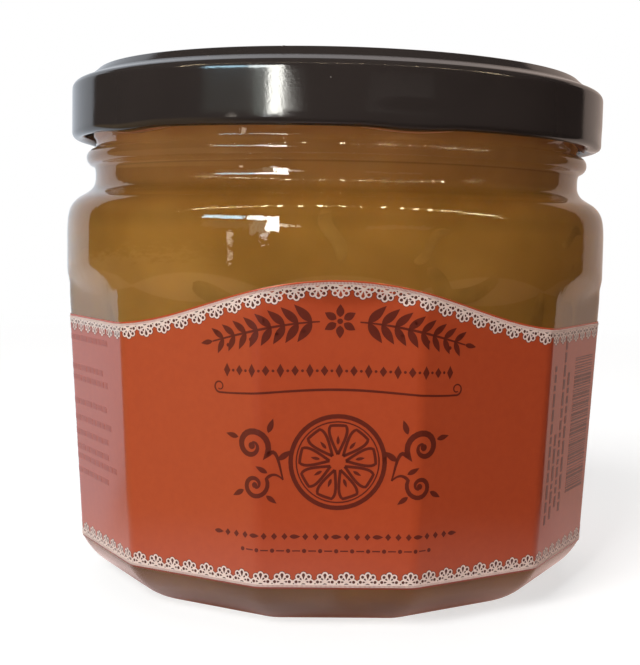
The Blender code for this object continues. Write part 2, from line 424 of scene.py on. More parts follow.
def glass_profile():
    """From the underside's middle, up the outside, over the rim and down the bore."""
    flat = [(0.0, PUSH_UP), (12.0, PUSH_UP), (22.0, PUSH_UP - 0.1)]
    foot = curve([(23.5, PUSH_UP - 0.2), (26.5, PUSH_UP - 0.5), (FOOT_RING, 0.0)], 5)
    underside = flat + foot + [(FOOT_RING + 2.0, 0.0)]
    heights = rows(0.0, 1.0, 5) + rows(1.5, HEEL_TOP + 1.8, 14) + rows(9.0, 44.0, 12)
    heights += rows(44.5, ARCH_CLEAR - 0.1, 22)
    wall = [(PRESSED_IN, height) for height in heights]
    above_arches = [(BODY_RADIUS, height) for height in rows(ARCH_CLEAR + 0.5, 53.6, 3)]
    waist = (SHOULDER_MID, 59.7)
    shoulder = curve([(BODY_RADIUS, 54.0), (BODY_RADIUS, 57.6), (43.15, 58.6), waist], 16)
    neck_foot = [(NECK_RADIUS, 60.9), (NECK_RADIUS, SHOULDER_TOP)]
    shoulder += curve([waist, (40.75, 60.65)] + neck_foot, 14)[1:]
    bead = arc((BEAD_RADIUS - BEAD_HALF, BEAD_HEIGHT), BEAD_HALF, -68, 88, 16)
    neck = curve(
        [(NECK_RADIUS, SHOULDER_TOP + 0.7), (NECK_RADIUS, bead[0][1] - 0.1), bead[0]], 4
    )
    finish = [
        (FINISH_RADIUS - FINISH_DRAFT * (1 - share), mix(FINISH_FOOT, FINISH_TOP, share))
        for share in rows(0.0, 1.0, 32)
    ]
    half = (FINISH_RADIUS - BORE_RADIUS) / 2
    rim = arc((BORE_RADIUS + half, RIM_TOP - half), half, 0, 180, 10)
    outside = underside + wall + above_arches + shoulder + neck[:-1] + bead + finish
    return outside + rim + bore_profile(0.0)[::-1]


def lid_shift(angle, radius, height):
    """Folds the curl in and down at the lugs, and dents the skirt over them."""
    off_lug = abs(near(angle * 180 / pi, LUG_ANGLE, LUGS))
    if height >= LUG_DENT_TOP or off_lug >= LUG_HALF:
        return radius, height
    weight = cos(pi / 2 * off_lug / LUG_HALF) ** 2
    low = min(1.0, (LUG_DENT_TOP - height) / 2)
    low = low * low * (3 - 2 * low)
    inwards = LUG_REACH if radius < LID_RADIUS - 0.7 else LUG_DENT * low
    return radius - inwards * weight, height - LUG_DROP * weight * low


def tilt_lid(obj):
    """The lid sits a touch askew: up on the left, down on the right."""
    turn = Matrix.Translation((0, 0, LID_EDGE * MM)) @ Matrix.Rotation(radians(LID_TILT), 4, "Y")
    obj.data.transform(turn @ Matrix.Translation((0, 0, -LID_EDGE * MM)))


def lid_profile():
    """From the button's middle, over the ring and its ledge, down the skirt and back inside."""
    tin = 0.3
    panel = LID_TOP - 1.0
    button_top = panel + 0.45
    slope_foot, slope_top = 33.2, 36.6
    ring_top, ring_round = 39.0, 0.35
    ledge_in, ledge = 40.1, LID_TOP - 1.27
    bend = 1.2
    skirt_top = LID_TOP - 3.15
    skirt_flat = 76.0
    curl = 1.0

    def slope(under):
        low = (slope_foot + under, panel - under)
        high = (slope_top + under, LID_TOP - under)
        pull = (high[0] - low[0]) / 2
        return curve([low, (low[0] + pull, low[1]), (high[0] - pull, high[1]), high], 12)

    def to_ledge():
        return curve(
            [(ledge_in - 0.12, ledge + 0.2), (ledge_in, ledge), (ledge_in + 0.2, ledge - 0.08)], 4
        )

    def to_skirt():
        bend_end = (LID_RADIUS - 0.072, skirt_top + 0.41)
        return curve([bend_end, (LID_RADIUS, skirt_top + 0.2), (LID_RADIUS, skirt_flat)], 6)

    outside = (
        curve([(0.0, button_top), (5.0, button_top), (7.0, panel), (9.5, panel)], 10)
        + [(20.0, panel)]
        + slope(0.0)
        + arc((ring_top - ring_round, LID_TOP - ring_round), ring_round, 90, 30, 6)
        + to_ledge()
        + arc((LID_RADIUS - bend, skirt_top), bend, 66, 20, 10)
        + to_skirt()
        + [(LID_RADIUS, height) for height in rows(skirt_flat - 0.5, 71.0, 12)]
        + arc((LID_RADIUS - curl, LID_EDGE + curl), curl, 0, -180, 16)
    )
    inner = LID_RADIUS - tin
    curl_in, curl_end = LID_RADIUS - 2 * curl, LID_EDGE + 2.2
    inside = (
        curve([(curl_in, LID_EDGE + curl), (curl_in, curl_end), (inner, curl_end)], 6)
        + [(inner, LUG_DENT_TOP), (inner, skirt_top - tin)]
        + [(LID_RADIUS - bend, skirt_top + bend - 2 * tin), (ledge_in - tin, ledge - tin)]
        + [(ring_top - tin, LID_TOP - ring_round - tin), (ring_top - 2 * ring_round, LID_TOP - tin)]
        + slope(tin)[::-1]
        + [(0.0, panel - tin)]
    )
    return outside + inside


def make_lugs():
    """The six tongues that are folded in under the lid's edge, as one mesh."""
    mesh = bmesh.new()
    inner = FINISH_RADIUS + TONGUE_GAP
    outer = inner + TONGUE_TIN
    top = LID_EDGE + 1.1
    half_width = 1.15 * LUG_HALF
    for lug in range(LUGS):
        middle = LUG_ANGLE + 360.0 / LUGS * lug
        rings = []
        for share in rows(-1.0, 1.0, 20):
            angle = radians(middle + share * half_width)
            low = LID_EDGE + 0.35 - TONGUE_REACH * cos(pi / 2 * share) ** 1.3
            section = ((outer, top), (outer, low), (inner, low), (inner, top))
            rings.append([mesh.verts.new(at(angle, radius, height)) for radius, height in section])
        bridge(mesh, rings)
        mesh.faces.new(rings[0])
        mesh.faces.new(rings[-1][::-1])
    bmesh.ops.recalc_face_normals(mesh, faces=mesh.faces)
    return add_object("lid_lugs", mesh)


def material(name):
    made = bpy.data.materials.new(name)
    made.use_nodes = True
    return made, made.node_tree, made.node_tree.nodes["Principled BSDF"]


def set_inputs(made, values):
    """Sets a node's inputs, from a table by their names or numbers."""
    for key, value in values.items():
        made.inputs[key].default_value = value


def node(tree, kind, values=None, **settings):
    made = tree.nodes.new(kind)
    for key, value in settings.items():
        setattr(made, key, value)
    set_inputs(made, values or {})
    return made


def share_between(tree, value, low, high):
    """How far a value lies on the way from low to high, held to 0 and 1."""
    made = node(tree, "ShaderNodeMapRange", {"From Min": low, "From Max": high})
    tree.links.new(value, made.inputs["Value"])
    return made.outputs["Result"]


def split_axes(tree, vector):
    """The X, Y and Z outputs of a vector output."""
    split = node(tree, "ShaderNodeSeparateXYZ")
    tree.links.new(vector, split.inputs["Vector"])
    return split.outputs


def object_axes(tree):
    return split_axes(tree, node(tree, "ShaderNodeTexCoord").outputs["Object"])


def group_tree(name, inputs, output):
    """An empty shader node group with its sockets; inputs are (name, kind, value)."""
    tree = bpy.data.node_groups.new(name, "ShaderNodeTree")
    for label, kind, value in inputs:
        made = tree.interface.new_socket(label, in_out="INPUT", socket_type="NodeSocket" + kind)
        made.default_value = value
    tree.interface.new_socket(output[0], in_out="OUTPUT", socket_type="NodeSocket" + output[1])
    return tree, node(tree, "NodeGroupInput"), node(tree, "NodeGroupOutput")


def object_noise(tree, given):
    """Noise on Object coordinates inside a group, driven by its Scale, Detail and Stretch."""
    place = node(tree, "ShaderNodeTexCoord")
    stretched = node(tree, "ShaderNodeVectorMath", operation="MULTIPLY")
    made = node(tree, "ShaderNodeTexNoise", {"Roughness": 0.55})
    tree.links.new(place.outputs["Object"], stretched.inputs[0])
    tree.links.new(given.outputs["Stretch"], stretched.inputs[1])
    tree.links.new(stretched.outputs["Vector"], made.inputs["Vector"])
    for label in ("Scale", "Detail"):
        tree.links.new(given.outputs[label], made.inputs[label])
    return made.outputs["Fac"]


NOISE_INPUTS = [("Scale", "Float", 100.0), ("Detail", "Float", 3.0), ("Stretch", "Vector", (1, 1, 1))]


def build_mottled_tone():
    """Node group: two colours mixed in soft clouds."""
    inputs = [("Dark", "Color", (0, 0, 0, 1)), ("Light", "Color", (1, 1, 1, 1))] + NOISE_INPUTS
    tree, given, out = group_tree("Mottled tone", inputs, ("Color", "Color"))
    both = node(tree, "ShaderNodeMix", data_type="RGBA")
    tree.links.new(share_between(tree, object_noise(tree, given), 0.32, 0.68), both.inputs["Factor"])
    for label, slot in (("Dark", "A"), ("Light", "B")):
        tree.links.new(given.outputs[label], both.inputs[slot])
    tree.links.new(both.outputs["Result"], out.inputs["Color"])


def build_uneven_gloss():
    """Node group: a roughness that wanders between two values."""
    inputs = [("Low", "Float", 0.1), ("High", "Float", 0.2)] + NOISE_INPUTS
    tree, given, out = group_tree("Uneven gloss", inputs, ("Roughness", "Float"))
    share = node(tree, "ShaderNodeMapRange")
    tree.links.new(object_noise(tree, given), share.inputs["Value"])
    for label, slot in (("Low", "To Min"), ("High", "To Max")):
        tree.links.new(given.outputs[label], share.inputs[slot])
    tree.links.new(share.outputs["Result"], out.inputs["Roughness"])


def build_surface_grain():
    """Node group: the height of a fine relief, for a Bump node."""
    tree, given, out = group_tree("Surface grain", NOISE_INPUTS, ("Height", "Float"))
    tree.links.new(object_noise(tree, given), out.inputs["Height"])


def placed(tree, name, **values):
    """A shared group placed in a material with its own values. The output is its only one."""
    made = node(tree, "ShaderNodeGroup", node_tree=bpy.data.node_groups[name])
    for label, value in values.items():
        whole = (*value, 1.0) if label in ("Dark", "Light") else value
        made.inputs[label].default_value = whole
    return made.outputs[0]


def ramp(tree, factor, stops):
    made = node(tree, "ShaderNodeValToRGB")
    elements = made.color_ramp.elements
    while len(elements) < len(stops):
        elements.new(0.5)
    for element, (place, colour) in zip(elements, stops):
        element.position = place
        element.color = (*colour, 1.0) if len(colour) == 3 else colour
    tree.links.new(factor, made.inputs["Fac"])
    return made.outputs["Color"]


def mix_colours(tree, factor, low, high):
    """Two colours or colour outputs mixed by a factor."""
    made = node(tree, "ShaderNodeMix", data_type="RGBA")
    tree.links.new(factor, made.inputs["Factor"])
    for key, value in (("A", low), ("B", high)):
        if isinstance(value, tuple):
            made.inputs[key].default_value = (*value, 1.0)
        else:
            tree.links.new(value, made.inputs[key])
    return made.outputs["Result"]


def bump(tree, height, strength, distance, before=None):
    made = node(tree, "ShaderNodeBump", {"Strength": strength, "Distance": distance})
    tree.links.new(height, made.inputs["Height"])
    if before:
        tree.links.new(before, made.inputs["Normal"])
    return made.outputs["Normal"]


def finish(name, tone, gloss):
    """A material with a mottled tone and an uneven gloss, from tables of their groups' inputs."""
    made, tree, shader = material(name)
    tree.links.new(placed(tree, "Mottled tone", **tone), shader.inputs["Base Color"])
    tree.links.new(placed(tree, "Uneven gloss", **gloss), shader.inputs["Roughness"])
    return made, tree, shader


def scaled(colour, factor):
    return tuple(factor * channel for channel in colour)


def glass_material():
    tint = {"Dark": (0.93, 0.955, 0.94), "Light": (0.97, 0.98, 0.97), "Scale": 60.0}
    smears = {"Low": 0.0, "High": 0.03, "Scale": 90.0, "Detail": 4.0}
    made, tree, shader = finish("Pressed glass", tint, smears)
    set_inputs(shader, {"Transmission Weight": 1.0, "IOR": 1.5})
    ripple = placed(tree, "Surface grain", Scale=650.0, Detail=3.0)
    waves = placed(tree, "Surface grain", Scale=110.0, Detail=3.5, Stretch=(1.0, 1.0, 0.6))
    fine = bump(tree, ripple, 0.6, 0.000028)
    tree.links.new(bump(tree, waves, 0.14, 0.00055, fine), shader.inputs["Normal"])
    return made


def marmalade_material(props):
    """Murky jelly: mottled, with painted shade that darkens it towards the neck and painted light behind
    the leaning arches.
    """
    made, tree, shader = material("Marmalade")
    tone = jelly_tone(tree, tuple(props.marmalade_deep), tuple(props.marmalade_light), 55.0)
    # Painted light mixed into the jelly's colour behind the leaning arches
    lit = mix_colours(tree, painted_arch_light(tree), tone, ARCH_PAINTED_LIGHT)
    tree.links.new(lit, shader.inputs["Base Color"])
    set_inputs(shader, {"Roughness": 0.45})
    make_murky(shader, 0.25, (1.0, 0.45, 0.1), 0.004)
    return made


def make_murky(shader, weight, radius, scale):
    """Lets light in under a surface, which takes its shine from the glass before it."""
    set_inputs(
        shader,
        {
            "Specular IOR Level": 0.0,
            "Subsurface Weight": weight,
            "Subsurface Radius": radius,
            "Subsurface Scale": scale,
        },
    )


def sums(tree, operation, *values):
    """A Math node over numbers and outputs."""
    made = node(tree, "ShaderNodeMath", operation=operation)
    for slot, value in zip(made.inputs, values):
        if isinstance(value, (int, float)):
            slot.default_value = value
        else:
            tree.links.new(value, slot)
    return made.outputs["Value"]


def painted_arch_light(tree):
    """Painted light behind each leaning arch of the glass, in place of a reflection: a faint lens, wide
    at the side's middle.
    """
    flat = (ARCH_CORNER - CORNER_ROUND) * cos(HALF_SIDE) + CORNER_ROUND
    axes = object_axes(tree)
    angle = sums(tree, "ARCTAN2", axes["X"], sums(tree, "MULTIPLY", axes["Y"], -1.0))
    off_middle = sums(tree, "PINGPONG", angle, HALF_SIDE)
    radius = sums(tree, "DIVIDE", flat * MM, sums(tree, "COSINE", off_middle))
    half = sums(tree, "DIVIDE", sums(tree, "SUBTRACT", BODY_RADIUS * MM, radius), 2 * ARCH_SLOPE)
    off_arch = sums(tree, "ABSOLUTE", sums(tree, "SUBTRACT", axes["Z"], ARCH_MIDDLE * MM))
    share = node(tree, "ShaderNodeMapRange", {"From Max": ARCH_EDGE * MM, "To Max": PAINTED_ARCH_SHARE})
    tree.links.new(sums(tree, "SUBTRACT", half, off_arch), share.inputs["Value"])
    return share.outputs["Result"]


def jelly_tone(tree, dark, light, scale):
    """Clouds of two colours, with painted shade by height."""
    clouds = placed(tree, "Mottled tone", Dark=dark, Light=light, Scale=scale)
    shaded = node(tree, "ShaderNodeMix", {"Factor": 1.0}, data_type="RGBA", blend_type="MULTIPLY")
    tree.links.new(clouds, shaded.inputs["A"])
    tree.links.new(painted_height_shade(tree), shaded.inputs["B"])
    return shaded.outputs["Result"]


def painted_height_shade(tree):
    """Painted shade: how much of the jelly's colour is left at each height."""
    share = share_between(tree, object_axes(tree)["Z"], 0.0, FILL_TOP * MM)
    return ramp(tree, share, [(height / FILL_TOP, tone) for height, tone in JELLY_PAINTED_SHADES])


def peel_material(props):
    made, tree, shader = material("Orange peel")
    link = tree.links.new
    # The peel takes the jelly's painted shade by height too.
    tone = jelly_tone(tree, tuple(props.peel_rind), tuple(props.peel_pith), 130.0)
    link(tone, shader.inputs["Base Color"])
    link(placed(tree, "Uneven gloss", Low=0.4, High=0.6, Scale=300.0), shader.inputs["Roughness"])
    pores = placed(tree, "Surface grain", Scale=1500.0, Detail=2.0)
    link(bump(tree, pores, 0.3, 0.0001), shader.inputs["Normal"])
    make_murky(shader, 0.2, (1.0, 0.5, 0.15), 0.003)
    return made


def dust_material(props):
    pale = tuple(props.dust_colour)
    tone = {"Dark": scaled(pale, 0.6), "Light": pale, "Scale": 2500.0}
    return finish("Dust", tone, {"Low": 0.7, "High": 0.9, "Scale": 2000.0})[0]


def lacquer_material(props):
    """The lid's black lacquer, hardly uneven, so that windows show in it as soft shapes."""
    dark = tuple(props.lid_colour)
    tone = {"Dark": dark, "Light": scaled(dark, 1.2), "Scale": 45.0}
    gloss = {"Low": 0.07, "High": 0.12, "Scale": 160.0, "Detail": 4.0}
    made, tree, shader = finish("Black lacquer", tone, gloss)
    skin = placed(tree, "Surface grain", Scale=2600.0, Detail=2.0)
    tree.links.new(bump(tree, skin, 0.075, 0.0001), shader.inputs["Normal"])
    return made


def lug_material(props):
    """The brown lacquer of the lid's inside."""
    brown = tuple(props.lug_colour)
    tone = {"Dark": brown, "Light": scaled(brown, 1.3), "Scale": 300.0}
    return finish("Brown lacquer", tone, {"Low": 0.25, "High": 0.4, "Scale": 200.0})[0]


def paper_material(props):
    base = tuple(props.label_colour)
    warm = tuple(channel * factor for channel, factor in zip(base, (1.06, 1.12, 1.1)))
    fibre = {"Dark": base, "Light": warm, "Scale": 900.0, "Detail": 5.0}
    made, tree, shader = finish("Label paper", fibre, {"Low": 0.5, "High": 0.6, "Scale": 120.0})
    varnish(shader, 0.8)
    grain = placed(tree, "Surface grain", Scale=2200.0)
    waves = placed(tree, "Surface grain", Scale=90.0, Detail=2.0)
    fine = bump(tree, grain, 0.05, 0.00005)
    tree.links.new(bump(tree, waves, 0.12, 0.0004, fine), shader.inputs["Normal"])
    return made


def varnish(shader, weight):
    """The label's clear coat, which shines at a glancing angle."""
    set_inputs(
        shader,
        {
            "Specular IOR Level": 0.2,
            "Coat Weight": weight,
            "Coat Roughness": 0.15,
            "Coat IOR": 1.7,
        },
    )


def ink_material(name, colour, gloss):
    dark = tuple(colour)
    faded = tuple(min(1.0, channel) for channel in scaled(dark, 1.12))
    tone = {"Dark": dark, "Light": faded, "Scale": 1400.0, "Detail": 4.0}
    made, _, shader = finish(name, tone, {"Low": 0.45, "High": 0.6, "Scale": 400.0})
    varnish(shader, gloss)
    return made


def label_top(angle):
    """The label's upper edge at an angle in radians: level, with one bell over the front side."""
    share = min(1.0, abs(angle * 180 / pi) / LABEL_CREST_HALF)
    return mix(LABEL_SIDE, LABEL_CREST, (1 + cos(pi * share)) / 2)


def angle_of(along):
    """The angle at a length along the label, counted from the front's middle."""
    side = round(along / SIDE_LENGTH)
    share = along / SIDE_LENGTH - side
    return side * SIDE_ANGLE + atan(2 * share * tan(HALF_SIDE))


def along_of(angle):
    side = round(angle / SIDE_ANGLE)
    return (side + tan(angle - side * SIDE_ANGLE) / tan(HALF_SIDE) / 2) * SIDE_LENGTH


def on_label(along, height, lift):
    angle = angle_of(along)
    return at(angle, wall_radius(angle, height) + PAPER_GAP + PAPER + lift, height)


LABEL_HALF = along_of(radians(LABEL_END))


def label_columns():
    """Lengths along the label for its columns, close together round the corners."""
    places = set()
    for side in range(-SIDES // 2, SIDES // 2 + 1):
        for step in rows(-0.5, 0.5, 16):
            places.add(round((side + step) * SIDE_LENGTH, 4))
        for step in rows(-1.5, 1.5, 12):
            places.add(round((side + 0.5) * SIDE_LENGTH + step, 4))
    inside = sorted(place for place in places if abs(place) < LABEL_HALF - 0.1)
    return [-LABEL_HALF] + inside + [LABEL_HALF]


def make_paper():
    """The bare label, a bent sheet with its rows close together over the leaning arches."""
    mesh = bmesh.new()
    heights = rows(0.0, 0.8, 20) + rows(0.81, 1.0, 44)
    grid = []
    for share in heights:
        line = []
        for along in label_columns():
            angle = angle_of(along)
            height = mix(LABEL_FOOT, label_top(angle), share)
            line.append(mesh.verts.new(at(angle, wall_radius(angle, height) + PAPER_GAP, height)))
        grid.append(line)
    for low, high in zip(grid, grid[1:]):
        for column in range(len(low) - 1):
            mesh.faces.new((low[column], low[column + 1], high[column + 1], high[column]))
    obj = add_object("label_paper", mesh)
    thicken(obj, PAPER)
    return obj


def thicken(obj, thickness, offset=1.0):
    """Gives a sheet its thickness and leaves a plain mesh."""
    solid = obj.modifiers.new("Thickness", "SOLIDIFY")
    solid.thickness = thickness * MM
    solid.offset = offset
    apply_modifiers(obj)


def apply_modifiers(obj):
    graph = bpy.context.evaluated_depsgraph_get()
    data = bpy.data.meshes.new_from_object(obj.evaluated_get(graph), depsgraph=graph)
    obj.modifiers.clear()
    old = obj.data
    obj.data = data
    data.name = obj.name
    if old.users == 0:
        bpy.data.meshes.remove(old)


def cut(mesh, place, across):
    """Cuts a flat mesh along the line through a place, square to a direction."""
    geometry = mesh.verts[:] + mesh.edges[:] + mesh.faces[:]
    bmesh.ops.bisect_plane(mesh, geom=geometry, dist=1e-5, plane_co=place, plane_no=across)


def wrap(obj, lift=0.0):
    """Cuts a flat print at the corners' bends, bends it onto the label and thickens it."""
    mesh = bmesh.new()
    mesh.from_mesh(obj.data)
    for side in range(-SIDES // 2, SIDES // 2):
        for step in rows(-1.2, 1.2, 8):
            cut(mesh, ((side + 0.5) * SIDE_LENGTH + step, 0, 0), (1, 0, 0))
    for height in rows(LEAN_FOOT, LABEL_CREST, 18):
        cut(mesh, (0, height, 0), (0, 1, 0))
    bmesh.ops.triangulate(mesh, faces=mesh.faces)
    for vertex in mesh.verts:
        vertex.co = on_label(vertex.co.x, vertex.co.y, lift + INK)
    mesh.to_mesh(obj.data)
    mesh.free()
    obj.data.shade_smooth()
    thicken(obj, 2 * INK, -1.0)
    obj.data.set_sharp_from_angle(angle=SHARP_ANGLE)


def turned(points, turn, middle):
    """Points turned about the origin and moved to a middle."""
    return [
        (middle[0] + a * cos(turn) - b * sin(turn), middle[1] + a * sin(turn) + b * cos(turn))
        for a, b in points
    ]


def circle(middle, radius, steps=8):
    turns = rows(0.0, 2 * pi, steps)[:-1]
    return [(middle[0] + radius * cos(t), middle[1] + radius * sin(t)) for t in turns]


def fan_outline(pitch, grow=0.0):
    """One fan's outline: five round petals on a hub, joined to its neighbours at the heading."""
    half = pitch / 2
    joint = LACE_JOINT + grow
    outline = [(-half, LACE_COMB), (half, LACE_COMB), (half, joint)]
    lobe = LACE_LOBE + grow
    for degrees in rows(9, 171, 40):
        turn = radians(degrees)
        best = 0.0
        for petal in range(PETALS):
            off = turn - petal * pi / 4
            across = LACE_REACH * sin(off)
            if abs(across) < lobe and cos(off) > 0:
                best = max(best, LACE_REACH * cos(off) + sqrt(lobe**2 - across**2))
        place = best * cos(turn)
        outline.append((max(-half, min(half, place)), LACE_HUB + best * sin(turn)))
    return outline + [(-half, joint)]


def fan_holes(pitch):
    """Two holes in each petal, a crescent under the hub and a small dot where fans join."""
    holes = []
    for petal in range(PETALS):
        turn = petal * pi / 4
        if petal == 2:
            tear = [(0.32, 0.0), (0.62, 0.12), (0.95, 0.24), (1.15, 0.15), (1.21, 0.0)]
            tear += [(a, -b) for a, b in tear[-2:0:-1]]
            holes.append(turned(tear, turn, (0.0, LACE_HUB)))
            continue
        holes.append(turned(circle((1.02, 0.0), 0.23), turn, (0.0, LACE_HUB)))
        slit = [(0.32, 0.0), (0.5, 0.12), (0.69, 0.13), (0.72, 0.0), (0.69, -0.13), (0.5, -0.12)]
        holes.append(turned(slit, turn, (0.0, LACE_HUB)))
    holes.append([(-0.34, 0.4), (-0.18, 0.54), (0.0, 0.59), (0.18, 0.54), (0.34, 0.4), (0.0, 0.42)])
    holes.append(circle((pitch / 2 - 0.12, 0.52), 0.1, 8))
    return holes


def flat_mesh(name, loops):
    """A filled flat mesh of closed loops, the later ones being holes; y points to the label's middle."""
    shape = bpy.data.curves.new(name, "CURVE")
    shape.dimensions = "2D"
    shape.fill_mode = "BOTH"
    for loop in loops:
        spline = shape.splines.new("POLY")
        spline.points.add(len(loop) - 1)
        spline.use_cyclic_u = True
        for point, (across, down) in zip(spline.points, loop):
            point.co = (across, -down, 0.0, 1.0)
    holder = new_object(name, shape)
    graph = bpy.context.evaluated_depsgraph_get()
    data = bpy.data.meshes.new_from_object(holder.evaluated_get(graph), depsgraph=graph)
    bpy.data.objects.remove(holder)
    return data


def lace_fan(pitch):
    """A white fan with its holes and the comb of short threads above it."""
    data = flat_mesh("lace_fan", [fan_outline(pitch)] + fan_holes(pitch))
    mesh = bmesh.new()
    mesh.from_mesh(data)
    for thread in range(LACE_THREADS):
        left = mix(-pitch / 2, pitch / 2, (thread + 0.22) / LACE_THREADS)
        right = mix(-pitch / 2, pitch / 2, (thread + 0.78) / LACE_THREADS)
        corners = [(left, 0.0), (right, 0.0), (right, -LACE_COMB), (left, -LACE_COMB)]
        mesh.faces.new([mesh.verts.new((*corner, 0.0)) for corner in corners])
    return flat_object("lace_fan", mesh, data)


def lace_shadow(pitch):
    """The dark ground behind a fan, a little wider than it."""
    data = flat_mesh("lace_ground", [fan_outline(pitch, LACE_GROUND)])
    mesh = bmesh.new()
    mesh.from_mesh(data)
    return flat_object("lace_ground", mesh, data)


def flat_object(name, mesh, data):
    """Turns every face up, and makes the object."""
    for face in mesh.faces:
        if face.normal.z < 0:
            face.normal_flip()
    mesh.to_mesh(data)
    mesh.free()
    return new_object(name, data)


def geometry_tree(name, inputs, output, parts, links):
    """A Geometry Nodes tree from tables of its inputs, its nodes and the links between them."""
    tree = bpy.data.node_groups.new(name, "GeometryNodeTree")
    for label, kind in inputs:
        tree.interface.new_socket(label, in_out="INPUT", socket_type="NodeSocket" + kind)
    tree.interface.new_socket(output, in_out="OUTPUT", socket_type="NodeSocketGeometry")
    nodes = {"given": node(tree, "NodeGroupInput"), "result": node(tree, "NodeGroupOutput")}
    for label, kind, settings in parts:
        nodes[label] = node(tree, kind, **settings)
    for source, leaving, target, entering in links:
        tree.links.new(nodes[source].outputs[leaving], nodes[target].inputs[entering])
    return tree


def repeat_tree():
    """Geometry Nodes: a motif set at even steps along a line and turned with it."""
    inputs = (("Line", "Geometry"), ("Motif", "Object"), ("Count", "Int"), ("Material", "Material"))
    parts = (
        ("curve", "GeometryNodeMeshToCurve", {}),
        ("steps", "GeometryNodeResampleCurve", {"mode": "COUNT"}),
        ("tangent", "GeometryNodeInputTangent", {}),
        ("turn", "FunctionNodeAlignRotationToVector", {"axis": "X", "pivot_axis": "Z"}),
        ("motif", "GeometryNodeObjectInfo", {"transform_space": "ORIGINAL"}),
        ("place", "GeometryNodeInstanceOnPoints", {}),
        ("realize", "GeometryNodeRealizeInstances", {}),
        ("paint", "GeometryNodeSetMaterial", {}),
    )
    links = (
        ("given", "Line", "curve", "Mesh"),
        ("curve", "Curve", "steps", "Curve"),
        ("given", "Count", "steps", "Count"),
        ("steps", "Curve", "place", "Points"),
        ("tangent", "Tangent", "turn", "Vector"),
        ("turn", "Rotation", "place", "Rotation"),
        ("given", "Motif", "motif", "Object"),
        ("motif", "Geometry", "place", "Instance"),
        ("place", "Instances", "realize", "Geometry"),
        ("realize", "Geometry", "paint", "Geometry"),
        ("given", "Material", "paint", "Material"),
        ("paint", "Geometry", "result", "Print"),
    )
    return geometry_tree("Repeat along line", inputs, "Print", parts, links)


def socket_id(tree, name):
    return next(item.identifier for item in tree.interface.items_tree if item.name == name)


def drawn_object(name, points, edges, faces):
    data = bpy.data.meshes.new(name)
    data.from_pydata([(x, y, 0.0) for x, y in points], edges, faces)
    return new_object(name, data)


def lace_border(name, motif, height_at, upwards, count, paint, tree, lift):
    """A lace border along the label's edge: its line, its fans and the bend onto the paper."""
    points = border_line(height_at)
    step = border_length(points) / count
    trimmed = [point for point in points if abs(point[0]) < LABEL_HALF - LACE_RIM - step / 2]
    if upwards:
        trimmed.reverse()
    edges = [(index, index + 1) for index in range(len(trimmed) - 1)]
    obj = drawn_object(name, trimmed, edges, [])
    fans = obj.modifiers.new("Fans", "NODES")
    fans.node_group = tree
    for label, value in (("Motif", motif), ("Count", count), ("Material", paint)):
        fans[socket_id(tree, label)] = value
    apply_modifiers(obj)
    bpy.data.objects.remove(motif)
    wrap(obj, lift)
    return obj


def border_line(height_at):
    places = rows(LACE_RIM - LABEL_HALF, LABEL_HALF - LACE_RIM, 700)
    return [(along, height_at(angle_of(along))) for along in places]


def border_length(points):
    return sum(hypot(b[0] - a[0], b[1] - a[1]) for a, b in zip(points, points[1:]))


class Drawing:
    """Flat shapes on the label: lengths along it and heights on it, in millimetres."""

    def __init__(self):
        self.points = []
        self.faces = []

    def polygon(self, points):
        area = sum(a[0] * b[1] - b[0] * a[1] for a, b in zip(points, points[1:] + points[:1]))
        loop = points if area > 0 else points[::-1]
        start = len(self.points)
        self.points += loop
        self.faces.append(list(range(start, start + len(loop))))

    def stroke(self, path, width):
        """A ribbon along a path; width is a function of the share of the way."""
        sides = []
        for index, point in enumerate(path):
            before = path[max(0, index - 1)]
            after = path[min(len(path) - 1, index + 1)]
            run = Vector((after[0] - before[0], after[1] - before[1])).normalized()
            half = width(index / (len(path) - 1)) / 2
            sides.append(
                (
                    (point[0] - run.y * half, point[1] + run.x * half),
                    (point[0] + run.y * half, point[1] - run.x * half),
                )
            )
        for (a, b), (c, d) in zip(sides, sides[1:]):
            self.polygon([b, d, c, a])

    def leaf(self, root, turn, length, width):
        """A pointed leaf from its root; turn is its direction in radians."""
        upper = [(share * length, width / 2 * sin(pi * share**0.8)) for share in rows(0.0, 1.0, 8)]
        lower = [(across, -up) for across, up in upper[-2:0:-1]]
        self.polygon(turned(upper + lower, turn, root))

    def dot(self, middle, radius):
        self.polygon(circle(middle, radius, 12))

    def ring(self, middle, radius, width):
        path = circle(middle, radius, 48)
        self.stroke(path + path[:2], lambda share: width)

    def diamond(self, middle, across, up):
        x, y = middle
        self.polygon([(x - across, y), (x, y - up), (x + across, y), (x, y + up)])

    def block(self, left, low, right, high):
        self.polygon([(left, low), (right, low), (right, high), (left, high)])

    def object(self, name):
        return drawn_object(name, self.points, [], self.faces)


def spiral(middle, outer, inner, start, turns):
    """Points of a spiral that winds inwards; angles are in turns, and a negative count is clockwise."""
    found = []
    for share in rows(0.0, 1.0, 28):
        turn = 2 * pi * (start + turns * share)
        radius = mix(outer, inner, share)
        found.append((middle[0] + radius * cos(turn), middle[1] + radius * sin(turn)))
    return found


def swelling(thin, thick):
    """A stroke's width: thin at both ends and thick in the middle."""
    return lambda share: mix(thin, thick, sin(pi * share))


def facing(side, turn):
    """A direction as it is on the right side, or its mirror image on the left."""
    return turn if side > 0 else pi - turn


